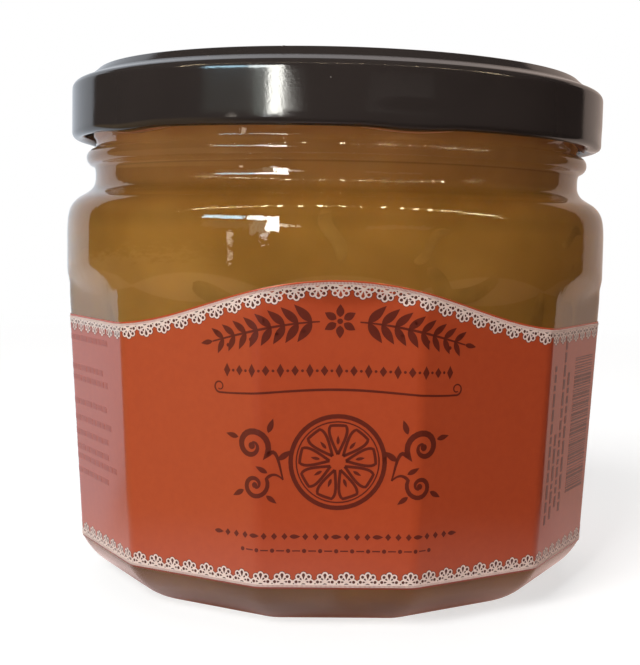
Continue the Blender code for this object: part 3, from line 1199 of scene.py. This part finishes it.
def draw_garland(drawing):
    """A garland of leaves and berries under the label's bell, with a blossom in its middle."""
    reach, ends, rise = 17.6, 40.0, 3.2
    pairs, first, step, spread = 8, 3.6, 1.75, 0.87

    def stem(along):
        return ends + rise * cos(pi / 2 * along / reach)

    for side in (-1, 1):
        path = [(side * along, stem(along)) for along in rows(2.6, reach, 30)]
        drawing.stroke(path, swelling(0.2, 0.34))
        for pair in range(pairs):
            along = first + step * pair
            length = mix(3.3, 2.3, pair / (pairs - 1))
            lean = atan((stem(along + 0.1) - stem(along)) / 0.1)
            for turn in (lean + spread, lean - spread):
                root = (side * along, stem(along))
                drawing.leaf(root, facing(side, turn), length, 0.36 * length)
            berry = (side * (along + 1.05), stem(along + 1.05) + (1.05 if pair % 2 else -1.05))
            drawing.dot(berry, 0.26)
        drawing.leaf((side * reach, stem(reach)), facing(side, -0.2), 1.9, 0.7)
    heart = (0.0, stem(0.0))
    for petal in range(6):
        turn = pi / 6 + petal * pi / 3
        root = (heart[0] + 0.55 * cos(turn), heart[1] + 0.55 * sin(turn))
        drawing.leaf(root, turn, 1.75, 1.05)
    drawing.dot(heart, 0.38)


def draw_beads(drawing):
    """A row of small lozenges and dots."""
    reach, pitch, low, rise = 8, 1.92, 36.2, 0.35
    for place in range(-reach, reach + 1):
        along = pitch * place
        height = low + rise * cos(pi / 2 * along / 17)
        drawing.diamond((along, height), 0.5, 0.72 if place % 2 else 0.95)
        if place < reach:
            drawing.dot((along + pitch / 2, height), 0.2)


def draw_sweep(drawing):
    """A long thin sweep that curls at both ends."""
    reach, low = 16.6, 33.1
    half = [(along, low + 0.9 * cos(pi / 2 * along / reach) ** 2) for along in rows(0.0, reach, 30)]
    curl = spiral((reach, low + 0.85), 0.85, 0.35, -0.25, 1.1)
    for side in (-1, 1):
        path = [(side * along, height) for along, height in half + curl[1:]]
        drawing.stroke(path, lambda share: mix(0.36, 0.16, share))


def draw_slice(drawing):
    """A round slice of citrus with scrolls and leaves on both sides."""
    middle, rind, flesh, wedges = (0.0, 24.1), 6.3, 5.0, 9
    drawing.ring(middle, rind, 0.62)
    drawing.ring(middle, rind - 0.75, 0.2)
    for wedge in range(wedges):
        turn = pi / 2 + 2 * pi * wedge / wedges
        half = pi / wedges
        side = curve([(1.1, 0.0), (3.0, 2.6 * half), (4.3, 4.4 * half), (flesh, 2.9 * half)], 8)
        cap = curve([side[-1], (flesh + 0.12, 0.0), (flesh, -2.9 * half)], 6)[1:]
        back = [(a, -b) for a, b in side[-2::-1]]
        path = turned(side + cap + back, turn, middle)
        drawing.stroke(path, lambda share: 0.4)
        seed = (middle[0] + 2.4 * cos(turn), middle[1] + 2.4 * sin(turn))
        drawing.leaf(seed, turn, 1.3, 0.45)
    for side in (-1, 1):
        upper = spiral((11.6, 26.2), 2.5, 0.5, 0.62, -1.35)
        lower = spiral((11.2, 20.8), 1.9, 0.4, 0.42, 1.3)
        stem = curve([(7.3, 21.6), (8.0, 24.2), (8.1, 26.8), upper[0]], 10)
        root = curve([(7.3, 21.6), (8.2, 22.6), (9.0, 22.4), lower[0]], 8)
        for path, thick in ((stem + upper[1:], 0.85), (root + lower[1:], 0.66)):
            drawing.stroke([(side * a, b) for a, b in path], swelling(0.2, thick))
        leaves = (
            ((8.0, 24.3), 2.5, 2.3, 0.85),
            ((9.3, 28.0), 1.9, 2.1, 0.8),
            ((13.7, 27.2), 0.2, 2.0, 0.75),
            ((12.9, 20.0), -0.5, 2.0, 0.75),
            ((9.4, 22.5), 0.5, 1.9, 0.7),
            ((9.6, 19.4), 3.8, 1.8, 0.7),
        )
        for (along, height), turn, length, width in leaves:
            drawing.leaf((side * along, height), facing(side, turn), length, width)
        drawing.dot((side * 11.6, 26.2), 0.5)
        drawing.dot((side * 11.2, 20.8), 0.42)


def draw_rules(drawing):
    """Two fine rows near the foot: lozenges, and a rule broken by dots."""
    upper, lower = 13.75, 11.75
    for place in range(-12, 13):
        along = 1.42 * place
        if place % 4:
            drawing.diamond((along, upper), 0.42, 0.5)
        else:
            drawing.leaf((along - 0.75, upper), 0.0, 1.5, 0.62)
    for place in range(-6, 7):
        along = 2.2 * place
        drawing.dot((along, lower), 0.3)
        if place < 6:
            drawing.block(along + 0.55, lower - 0.09, along + 1.65, lower + 0.09)


def draw_notes(drawing):
    """Rows of short dashes on the left side, as faint as small print."""
    draw = random.Random(7)
    rows_at = (39.9, 38.2, 33.6, 31.9, 28.2, 25.6, 23.3, 21.0, 19.4, 17.2)
    end, half, gap = -58.0, 0.42, 0.45
    for height in rows_at:
        along = -draw.uniform(36.5, 42.0)
        while along > end:
            length = draw.uniform(0.9, 2.6)
            drawing.block(along - length, height - half, along, height + half)
            along -= length + gap


def draw_bars(drawing):
    """Upright rows of short dashes and a ladder of plain bars on the right side."""
    draw = random.Random(11)
    columns = ((35.6, 12.5, 35.5), (37.6, 13.0, 24.5), (39.6, 14.5, 38.5), (41.6, 13.5, 33.5))
    half, gap = 0.42, 0.4
    for along, low, high in columns:
        height = low
        while height < high:
            length = draw.uniform(0.7, 2.3)
            drawing.block(along - half, height, along + half, height + length)
            height += length + gap
    left, right, height, top = 44.4, 52.6, 15.8, 36.6
    while height < top:
        thick = draw.choice((0.16, 0.16, 0.3, 0.45))
        drawing.block(left, height, right, height + thick)
        height += thick + draw.choice((0.17, 0.17, 0.3))


def strip_collection():
    """Four closed strips of peel, each bent another way."""
    bends = ((1.3, 0.0), (-1.1, 0.4), (0.7, -0.8), (-0.4, 0.9))
    strips = []
    for bend, hook in bends:
        middles, halves = [], []
        for share in rows(0.0, 1.0, 16):
            sway = bend * sin(pi * share) + hook * sin(2 * pi * share)
            middles.append((4.6 * (2 * share - 1), sway))
            halves.append(mix(0.4, 1.15, sin(pi * share) ** 0.4))
        strips.append(closed_strip("peel_strip", middles, halves, 8, (0.015, 0.035)))
    return collected("peel_strips", strips)


def fleck_collection():
    """Three small flecks of dust."""
    flecks = []
    for length, bend in ((0.22, 0.05), (0.1, 0.0), (0.34, -0.12)):
        middles = [(length * (2 * share - 1), bend * sin(pi * share)) for share in rows(0.0, 1.0, 4)]
        flecks.append(closed_strip("fleck", middles, [0.03, 0.06, 0.07, 0.06, 0.03], 6, (0.02, 0.03)))
    return collected("flecks", flecks)


def collected(name, meshes):
    holder = bpy.data.collections.new(name)
    for data in meshes:
        holder.objects.link(bpy.data.objects.new(data.name, data))
    return holder


def closed_strip(name, middles, halves, around, relief):
    """A closed flat strip along a path; its relief above the ground is the attribute rise."""
    mesh = bmesh.new()
    rise = mesh.verts.layers.float.new("rise")
    ground, swell = relief
    rings = []
    for (along, across), half in zip(middles, halves):
        ring = []
        for turn in rows(0.0, 2 * pi, around)[:-1]:
            place = (along, across + half * cos(turn), swell * sin(turn))
            point = mesh.verts.new(Vector(place) * MM)
            point[rise] = (ground + swell * sin(turn)) * MM
            ring.append(point)
        rings.append(ring)
    for low, high in zip(rings, rings[1:]):
        for index in range(around):
            after = (index + 1) % around
            mesh.faces.new((low[index], high[index], high[after], low[after]))
    mesh.faces.new(rings[0])
    mesh.faces.new(rings[-1][::-1])
    bmesh.ops.recalc_face_normals(mesh, faces=mesh.faces)
    return mesh_data(name, mesh)


def scatter_tree():
    """Geometry Nodes: pieces strewn over a surface and laid down on it by their rise attribute."""
    inputs = (
        ("Surface", "Geometry"),
        ("Pieces", "Collection"),
        ("Density", "Float"),
        ("Seed", "Int"),
        ("Smallest", "Float"),
        ("Largest", "Float"),
        ("Lowest", "Float"),
        ("Highest", "Float"),
        ("Material", "Material"),
    )
    single = {"data_type": "FLOAT"}
    whole_turn = {"values": {"Max": 2 * pi}, "data_type": "FLOAT"}
    apart = {"values": {"Separate Children": True, "Reset Children": True}}
    parts = (
        ("position", "GeometryNodeInputPosition", {}),
        ("split", "ShaderNodeSeparateXYZ", {}),
        ("above", "FunctionNodeCompare", {"data_type": "FLOAT", "operation": "GREATER_THAN"}),
        ("below", "FunctionNodeCompare", {"data_type": "FLOAT", "operation": "LESS_THAN"}),
        ("between", "FunctionNodeBooleanMath", {"operation": "AND"}),
        ("spots", "GeometryNodeDistributePointsOnFaces", {"distribute_method": "RANDOM"}),
        ("spin", "FunctionNodeRandomValue", whole_turn),
        ("about", "ShaderNodeCombineXYZ", {}),
        ("euler", "FunctionNodeEulerToRotation", {}),
        ("turn", "FunctionNodeRotateRotation", {"rotation_space": "LOCAL"}),
        ("size", "FunctionNodeRandomValue", single),
        ("pieces", "GeometryNodeCollectionInfo", apart),
        ("place", "GeometryNodeInstanceOnPoints", {"values": {"Pick Instance": True}}),
        ("realize", "GeometryNodeRealizeInstances", {}),
        ("nearest", "GeometryNodeProximity", {"target_element": "FACES"}),
        ("normal", "GeometryNodeInputNormal", {}),
        ("facing", "GeometryNodeSampleNearestSurface", {"data_type": "FLOAT_VECTOR"}),
        ("rise", "GeometryNodeInputNamedAttribute", {"values": {"Name": "rise"}, **single}),
        ("lifted", "ShaderNodeVectorMath", {"operation": "SCALE"}),
        ("laid", "ShaderNodeVectorMath", {"operation": "ADD"}),
        ("settle", "GeometryNodeSetPosition", {}),
        ("paint", "GeometryNodeSetMaterial", {}),
    )
    links = (
        ("position", "Position", "split", "Vector"),
        ("split", "Z", "above", "A"),
        ("given", "Lowest", "above", "B"),
        ("split", "Z", "below", "A"),
        ("given", "Highest", "below", "B"),
        ("above", "Result", "between", 0),
        ("below", "Result", "between", 1),
        ("given", "Surface", "spots", "Mesh"),
        ("between", "Boolean", "spots", "Selection"),
        ("given", "Density", "spots", "Density"),
        ("given", "Seed", "spots", "Seed"),
        ("given", "Seed", "spin", "Seed"),
        ("given", "Seed", "size", "Seed"),
        ("spin", "Value", "about", "Z"),
        ("about", "Vector", "euler", "Euler"),
        ("spots", "Rotation", "turn", "Rotation"),
        ("euler", "Rotation", "turn", "Rotate By"),
        ("given", "Smallest", "size", "Min"),
        ("given", "Largest", "size", "Max"),
        ("given", "Pieces", "pieces", "Collection"),
        ("spots", "Points", "place", "Points"),
        ("pieces", "Instances", "place", "Instance"),
        ("turn", "Rotation", "place", "Rotation"),
        ("size", "Value", "place", "Scale"),
        ("place", "Instances", "realize", "Geometry"),
        ("given", "Surface", "nearest", "Geometry"),
        ("given", "Surface", "facing", "Mesh"),
        ("normal", "Normal", "facing", "Value"),
        ("facing", "Value", "lifted", 0),
        ("rise", "Attribute", "lifted", "Scale"),
        ("nearest", "Position", "laid", 0),
        ("lifted", "Vector", "laid", 1),
        ("realize", "Geometry", "settle", "Geometry"),
        ("laid", "Vector", "settle", "Position"),
        ("settle", "Geometry", "paint", "Geometry"),
        ("given", "Material", "paint", "Material"),
        ("paint", "Geometry", "result", "Strewn"),
    )
    return geometry_tree("Strew on surface", inputs, "Strewn", parts, links)


def strew(name, surface, pieces, values, tree):
    """Strews pieces over a copy of a surface, and returns them as one mesh object."""
    obj = new_object(name, surface.data.copy())
    strewn = obj.modifiers.new("Strew", "NODES")
    strewn.node_group = tree
    for label, value in {"Pieces": pieces, **values}.items():
        strewn[socket_id(tree, label)] = value
    apply_modifiers(obj)
    for piece in list(pieces.objects):
        bpy.data.objects.remove(piece)
    bpy.data.collections.remove(pieces)
    return obj


def tint(name, description, default):
    """A linear colour that a user can change."""
    return FloatVectorProperty(name=name, description=description, subtype="COLOR", default=default)


class JarColours(PropertyGroup):
    label_colour: tint("Label", "Colour of the paper", (0.465, 0.06, 0.0125))
    lace_colour: tint("Lace", "Colour of the printed lace", (0.83, 0.68, 0.60))
    lace_ground: tint("Lace ground", "Colour behind the lace", (0.1, 0.024, 0.014))
    print_colour: tint("Print", "Colour of the dark print", (0.125, 0.0135, 0.0045))
    faint_colour: tint("Faint print", "Colour of the small print", (0.37, 0.045, 0.01))
    bar_colour: tint("Bars", "Colour of the bars", (0.19, 0.028, 0.008))
    lid_colour: tint("Lid", "Colour of the lacquer", (0.0297, 0.0236, 0.0208))
    lug_colour: tint("Lugs", "Colour of the lacquer inside the lid", (0.17, 0.06, 0.025))
    dust_colour: tint("Dust", "Colour of the dust", (0.3, 0.28, 0.25))
    marmalade_deep: tint("Marmalade, deep", "Darker colour of the jelly", (0.205, 0.094, 0.0165))
    marmalade_light: tint("Marmalade, light", "Lighter colour of the jelly", (0.29, 0.142, 0.027))
    peel_rind: tint("Peel, rind", "Colour of the rind", (0.216, 0.099, 0.0174))
    peel_pith: tint("Peel, pith", "Colour of the pith", (0.31, 0.153, 0.0302))


class JarSizes(PropertyGroup):
    lace_pitch: FloatProperty(
        name="Lace pitch", description="Width of one fan in millimetres", default=2.97, min=1.5, max=6.0
    )
    peel_density: FloatProperty(
        name="Peel density", description="Shreds to a square metre", default=6500.0, min=0.0
    )
    peel_seed: IntProperty(name="Peel seed", description="Places of the shreds", default=4)
    dust_density: FloatProperty(
        name="Dust density", description="Flecks to a square metre", default=3500.0, min=0.0
    )
    dust_seed: IntProperty(name="Dust seed", description="Places of the flecks", default=2)
    camera_distance: FloatProperty(
        name="Camera distance", description="From the jar's axis", default=0.20265, unit="LENGTH"
    )
    camera_height: FloatProperty(
        name="Camera height", description="Above the floor", default=0.05422, unit="LENGTH"
    )
    lens: FloatProperty(name="Lens", description="Focal length", default=65.81, unit="CAMERA")


class JAR_OT_glass(Operator):
    """Presses the glass jar"""

    bl_idname = "jar.glass"
    bl_label = "Glass"

    def execute(self, context):
        obj = revolve("glass", glass_profile(), glass_shift)
        obj.visible_shadow = False
        dress(obj, glass_material(), "glass_jar")
        return {"FINISHED"}


class JAR_OT_marmalade(Operator):
    """Fills the glass with marmalade"""

    bl_idname = "jar.marmalade"
    bl_label = "Marmalade"

    def execute(self, context):
        grow, neck, sag = 0.06, 64.0, 0.5
        brim = BORE_RADIUS + grow
        profile = bore_profile(grow) + [(brim, height) for height in rows(neck, FILL_TOP, 6)]
        profile += [(brim - 1.5, FILL_TOP - 0.4), (brim / 2, FILL_TOP - sag), (0.0, FILL_TOP - sag)]
        obj = revolve("marmalade_jelly", profile, columns=144)
        dress(obj, marmalade_material(context.scene.jar_colours), "marmalade")
        return {"FINISHED"}


class JAR_OT_peel(Operator):
    """Strews shreds of peel against the glass"""

    bl_idname = "jar.peel"
    bl_label = "Peel"

    def execute(self, context):
        sizes = context.scene.jar_sizes
        paint = peel_material(context.scene.jar_colours)
        values = {
            "Density": sizes.peel_density,
            "Seed": sizes.peel_seed,
            "Smallest": 0.6,
            "Largest": 1.5,
            "Lowest": 12.0 * MM,
            "Highest": 57.0 * MM,
            "Material": paint,
        }
        jelly = bpy.data.objects["marmalade_jelly"]
        obj = strew("marmalade_peel", jelly, strip_collection(), values, scatter_tree())
        dress(obj, paint)
        return {"FINISHED"}


class JAR_OT_dust(Operator):
    """Drops a few flecks of dust on the lid"""

    bl_idname = "jar.dust"
    bl_label = "Dust"

    def execute(self, context):
        sizes = context.scene.jar_sizes
        paint = dust_material(context.scene.jar_colours)
        values = {
            "Density": sizes.dust_density,
            "Seed": sizes.dust_seed,
            "Smallest": 0.5,
            "Largest": 1.1,
            "Lowest": 71.5 * MM,
            "Highest": (LID_TOP + 1.0) * MM,
            "Material": paint,
        }
        tree = bpy.data.node_groups["Strew on surface"]
        obj = strew("lid_dust", bpy.data.objects["twist_off_lid"], fleck_collection(), values, tree)
        dress(obj, paint)
        return {"FINISHED"}


class JAR_OT_lid(Operator):
    """Presses the twist-off lid"""

    bl_idname = "jar.lid"
    bl_label = "Lid"

    def execute(self, context):
        obj = revolve("twist_off_lid", lid_profile(), lid_shift)
        tilt_lid(obj)
        obj.visible_shadow = False
        dress(obj, lacquer_material(context.scene.jar_colours), "lid")
        lugs = make_lugs()
        tilt_lid(lugs)
        lugs.visible_shadow = False
        dress(lugs, lug_material(context.scene.jar_colours))
        return {"FINISHED"}


class JAR_OT_label(Operator):
    """Wraps the paper label round the jar"""

    bl_idname = "jar.label"
    bl_label = "Label"

    def execute(self, context):
        obj = make_paper()
        dress(obj, paper_material(context.scene.jar_colours), "label")
        return {"FINISHED"}


class JAR_OT_lace(Operator):
    """Prints the two lace borders on the label"""

    bl_idname = "jar.lace"
    bl_label = "Lace"

    def execute(self, context):
        colours = context.scene.jar_colours
        white = ink_material("Lace ink", colours.lace_colour, 0.45)
        dark = ink_material("Lace ground ink", colours.lace_ground, 0.4)
        tree = repeat_tree()
        borders = (
            ("top", lambda angle: label_top(angle) - LACE_RIM, False),
            ("foot", lambda angle: LABEL_FOOT + LACE_RIM, True),
        )
        for side, height_at, upwards in borders:
            length = border_length(border_line(height_at))
            count = round(length / context.scene.jar_sizes.lace_pitch)
            pitch = length / count
            parts = (
                ("lace_" + side, lace_fan, white, 0.0),
                ("lace_ground_" + side, lace_shadow, dark, -INK / 2),
            )
            for name, motif, paint, lift in parts:
                obj = lace_border(name, motif(pitch), height_at, upwards, count, paint, tree, lift)
                dress(obj, paint)
        return {"FINISHED"}


class JAR_OT_print(Operator):
    """Prints the ornaments and the small marks on the label"""

    bl_idname = "jar.print"
    bl_label = "Print"

    def execute(self, context):
        colours = context.scene.jar_colours
        dark = ink_material("Dark print", colours.print_colour, 0.35)
        faint = ink_material("Faint print", colours.faint_colour, 0.6)
        bars = ink_material("Bar print", colours.bar_colour, 0.5)
        prints = (
            ("print_garland", (draw_garland,), dark),
            ("print_slice", (draw_slice,), dark),
            ("print_lines", (draw_beads, draw_sweep, draw_rules), dark),
            ("print_notes", (draw_notes,), faint),
            ("print_bars", (draw_bars,), bars),
        )
        for name, steps, paint in prints:
            drawing = Drawing()
            for step in steps:
                step(drawing)
            obj = drawing.object(name)
            wrap(obj)
            dress(obj, paint)
        return {"FINISHED"}


class JAR_OT_stage(Operator):
    """Sets the floor, the lights and the camera"""

    bl_idname = "jar.stage"
    bl_label = "Stage"

    def execute(self, context):
        make_floor()
        make_world()
        make_lights()
        make_camera(context.scene.jar_sizes)
        context.scene.view_settings.view_transform = "Standard"
        return {"FINISHED"}


def make_floor():
    mesh = bmesh.new()
    bmesh.ops.create_circle(mesh, cap_ends=True, radius=3.0, segments=96)
    obj = add_object("floor", mesh)
    obj.data.materials.append(floor_material())


def floor_material():
    """A pale floor that glows for the camera to fade into the white backdrop; in reflections it glows
    with painted tones instead: a painted shadow round the jar's foot, pale beside the jar, and the
    room's or the backdrop's tone further off.
    """
    made, tree, shader = material("Pale floor")
    link = tree.links.new
    place = node(tree, "ShaderNodeTexCoord").outputs["Object"]
    path = node(tree, "ShaderNodeLightPath").outputs
    length = node(tree, "ShaderNodeVectorMath", operation="LENGTH")
    link(place, length.inputs[0])
    far = length.outputs["Value"]
    axes = floor_directions(tree, place)
    fade = share_between(tree, far, *FLOOR_FADE)
    seen = ramp(tree, fade, [(0.0, FLOOR_TONE), (1.0, BLACK)])
    bounce = mix_colours(tree, path["Is Glossy Ray"], FLOOR_BOUNCE, BLACK)
    link(mix_colours(tree, path["Is Camera Ray"], bounce, seen), shader.inputs["Base Color"])
    lift = ramp(tree, fade, [(0.0, (FLOOR_GLOW,) * 3), (1.0, (1.0,) * 3)])
    sides = share_between(tree, axes["X"], *MIRRORED_SIDES)
    beside = mix_colours(tree, sides, MIRRORED_LEFT, MIRRORED_RIGHT)
    near_jar = mix_colours(tree, share_between(tree, far, *FOOT_EDGE), PAINTED_FLOOR_SHADOW, beside)
    distant = mix_colours(tree, share_between(tree, axes["X"], *LEFT_EDGE), LEFT_FLOOR, ROOM_TONE)
    around = mix_colours(tree, behind_mask(tree, axes), distant, backdrop_colour(tree, axes))
    mirrored = mix_colours(tree, share_between(tree, far, *MIRROR_EDGE), near_jar, around)
    link(mix_colours(tree, path["Is Glossy Ray"], lift, mirrored), shader.inputs["Emission Color"])
    shown = sums(tree, "MAXIMUM", path["Is Camera Ray"], path["Is Glossy Ray"])
    link(shown, shader.inputs["Emission Strength"])
    set_inputs(shader, {"Roughness": 0.8, "Specular IOR Level": 0.0})
    return made


def floor_directions(tree, place):
    """The X, Y and Z outputs of directions over the floor, from a point in front of the jar."""
    ahead = node(tree, "ShaderNodeVectorMath", {1: FLOOR_EYE}, operation="ADD")
    way = node(tree, "ShaderNodeVectorMath", operation="NORMALIZE")
    tree.links.new(place, ahead.inputs[0])
    tree.links.new(ahead.outputs["Vector"], way.inputs[0])
    return split_axes(tree, way.outputs["Vector"])


def backdrop_colour(tree, axes):
    """The backdrop's tone in a direction, cool on the left and dimmer and warmer on the right."""
    across = share_between(tree, axes["X"], *BACKDROP_SIDES)
    return mix_colours(tree, across, BACKDROP_LEFT, BACKDROP_RIGHT)


def behind_mask(tree, axes):
    """1 towards the backdrop, 0 towards the dark room, with a crisp edge."""
    return share_between(tree, axes["Y"], *BACKDROP_EDGE)


def room_colour(tree, axes):
    return mix_colours(tree, behind_mask(tree, axes), ROOM_TONE, backdrop_colour(tree, axes))


def make_world():
    """White to the camera; in reflections light behind the jar and dark in front of it."""
    world = bpy.data.worlds.new("Studio")
    bpy.context.scene.world = world
    world.use_nodes = True
    tree = world.node_tree
    tree.nodes.clear()
    axes = split_axes(tree, node(tree, "ShaderNodeTexCoord").outputs["Generated"])
    path = node(tree, "ShaderNodeLightPath")
    seen = node(tree, "ShaderNodeBackground", {"Color": (1, 1, 1, 1), "Strength": 1.0})
    room = node(tree, "ShaderNodeBackground", {"Strength": 1.0})
    both = node(tree, "ShaderNodeMixShader")
    out = node(tree, "ShaderNodeOutputWorld")
    link = tree.links.new
    link(room_colour(tree, axes), room.inputs["Color"])
    link(path.outputs["Is Camera Ray"], both.inputs["Fac"])
    link(room.outputs["Background"], both.inputs[1])
    link(seen.outputs["Background"], both.inputs[2])
    link(both.outputs["Shader"], out.inputs["Surface"])


def towards(azimuth, elevation, distance):
    """A point on a round upright wall about the jar, in a direction in degrees."""
    angle = radians(azimuth)
    height = EYE_HEIGHT + distance * tan(radians(elevation))
    return Vector((distance * sin(angle), -distance * cos(angle), height))


def add_glow(name, quads, colour, strength):
    """Bright shapes that show only in reflections."""
    mesh = bmesh.new()
    for quad in quads:
        mesh.faces.new([mesh.verts.new(point) for point in quad])
    obj = add_object(name, mesh)
    made, _, shader = material(name)
    glow = {"Emission Color": (*colour, 1.0), "Emission Strength": strength}
    set_inputs(shader, {"Base Color": (*BLACK, 1.0), **glow})
    obj.data.materials.append(made)
    obj.visible_camera = False
    obj.visible_diffuse = False
    obj.visible_shadow = False


def add_pane(name, azimuths, elevations, colour, strength, far):
    """A bright upright pane, round the jar's axis between two azimuths."""
    places = rows(*azimuths, 6)
    low, high = elevations
    quads = [
        [towards(a, low, far), towards(b, low, far), towards(b, high, far), towards(a, high, far)]
        for a, b in zip(places, places[1:])
    ]
    add_glow(name, quads, colour, strength)


def add_ceiling_lamps():
    """A straight row of small lamps, high in front of the jar."""
    distance, step, offset, high = 1.2, 0.216, 0.03, 1.35
    across, up = Vector((0.03, 0.0, 0.0)), Vector((0.0, 0.024, 0.024))
    quads = []
    for place in range(-15, 18):
        middle = Vector((place * step + offset, -distance, high))
        corners = ((-1, -1), (1, -1), (1, 1), (-1, 1))
        quads.append([middle + side * across + rise * up for side, rise in corners])
    add_glow("ceiling_lamps", quads, (1.0, 0.8, 0.5), 150.0)


def add_light(name, azimuth, height, distance, size, power, colour):
    """A rectangular light that faces the jar and leaves no reflection of itself."""
    data = bpy.data.lights.new(name, "AREA")
    data.shape = "RECTANGLE"
    data.size, data.size_y = size
    data.energy = power
    data.color = colour
    obj = new_object(name, data)
    angle = radians(azimuth)
    obj.location = Vector((distance * sin(angle), -distance * cos(angle), height))
    aim = Vector((0.0, 0.0, LIT_HEIGHT)) - obj.location
    obj.rotation_euler = aim.to_track_quat("-Z", "Y").to_euler()
    obj.visible_glossy = False


def make_lights():
    for light in LIGHTS:
        add_light(*light)
    for pane in PANES:
        add_pane(*pane)
    add_ceiling_lamps()


def make_camera(sizes):
    azimuth = radians(-0.98)
    yaw, pitch, roll = radians(0.825), radians(4.44), radians(0.991)
    data = bpy.data.cameras.new("camera")
    data.lens = sizes.lens
    data.shift_x = -0.0482
    obj = new_object("camera", data)
    forward = Vector((sin(yaw) * cos(pitch), cos(yaw) * cos(pitch), -sin(pitch)))
    right = Vector((cos(yaw), -sin(yaw), 0.0))
    up = right.cross(forward)
    turned_right = right * cos(roll) + up * sin(roll)
    turned_up = up * cos(roll) - right * sin(roll)
    axes = Matrix((turned_right, turned_up, -forward)).transposed().to_4x4()
    place = Matrix.Translation((0.0, -sizes.camera_distance, sizes.camera_height))
    obj.matrix_world = Matrix.Rotation(azimuth, 4, "Z") @ place @ axes
    data.clip_start, data.clip_end = 0.01, 20.0
    bpy.context.scene.camera = obj


class JAR_PT_panel(Panel):
    """Lists the jar's sizes, colours and steps"""

    bl_label = "Marmalade jar"
    bl_space_type = "VIEW_3D"
    bl_region_type = "UI"
    bl_category = "Jar"

    def draw(self, context):
        for group in (context.scene.jar_sizes, context.scene.jar_colours):
            for name in group.bl_rna.properties.keys():
                if name not in ("rna_type", "name"):
                    self.layout.prop(group, name)
        for step in STEPS:
            self.layout.operator(step.bl_idname)


STEPS = (
    JAR_OT_stage,
    JAR_OT_glass,
    JAR_OT_marmalade,
    JAR_OT_peel,
    JAR_OT_lid,
    JAR_OT_dust,
    JAR_OT_label,
    JAR_OT_lace,
    JAR_OT_print,
)
CLASSES = (JarColours, JarSizes, *STEPS, JAR_PT_panel)


def register():
    for made in CLASSES:
        bpy.utils.register_class(made)
    bpy.types.Scene.jar_colours = PointerProperty(type=JarColours)
    bpy.types.Scene.jar_sizes = PointerProperty(type=JarSizes)


def unregister():
    del bpy.types.Scene.jar_sizes
    del bpy.types.Scene.jar_colours
    for made in reversed(CLASSES):
        bpy.utils.unregister_class(made)


def main():
    register()
    build_mottled_tone()
    build_uneven_gloss()
    build_surface_grain()
    for step in STEPS:
        group, name = step.bl_idname.split(".")
        getattr(getattr(bpy.ops, group), name)()


if __name__ == "__main__":
    main()
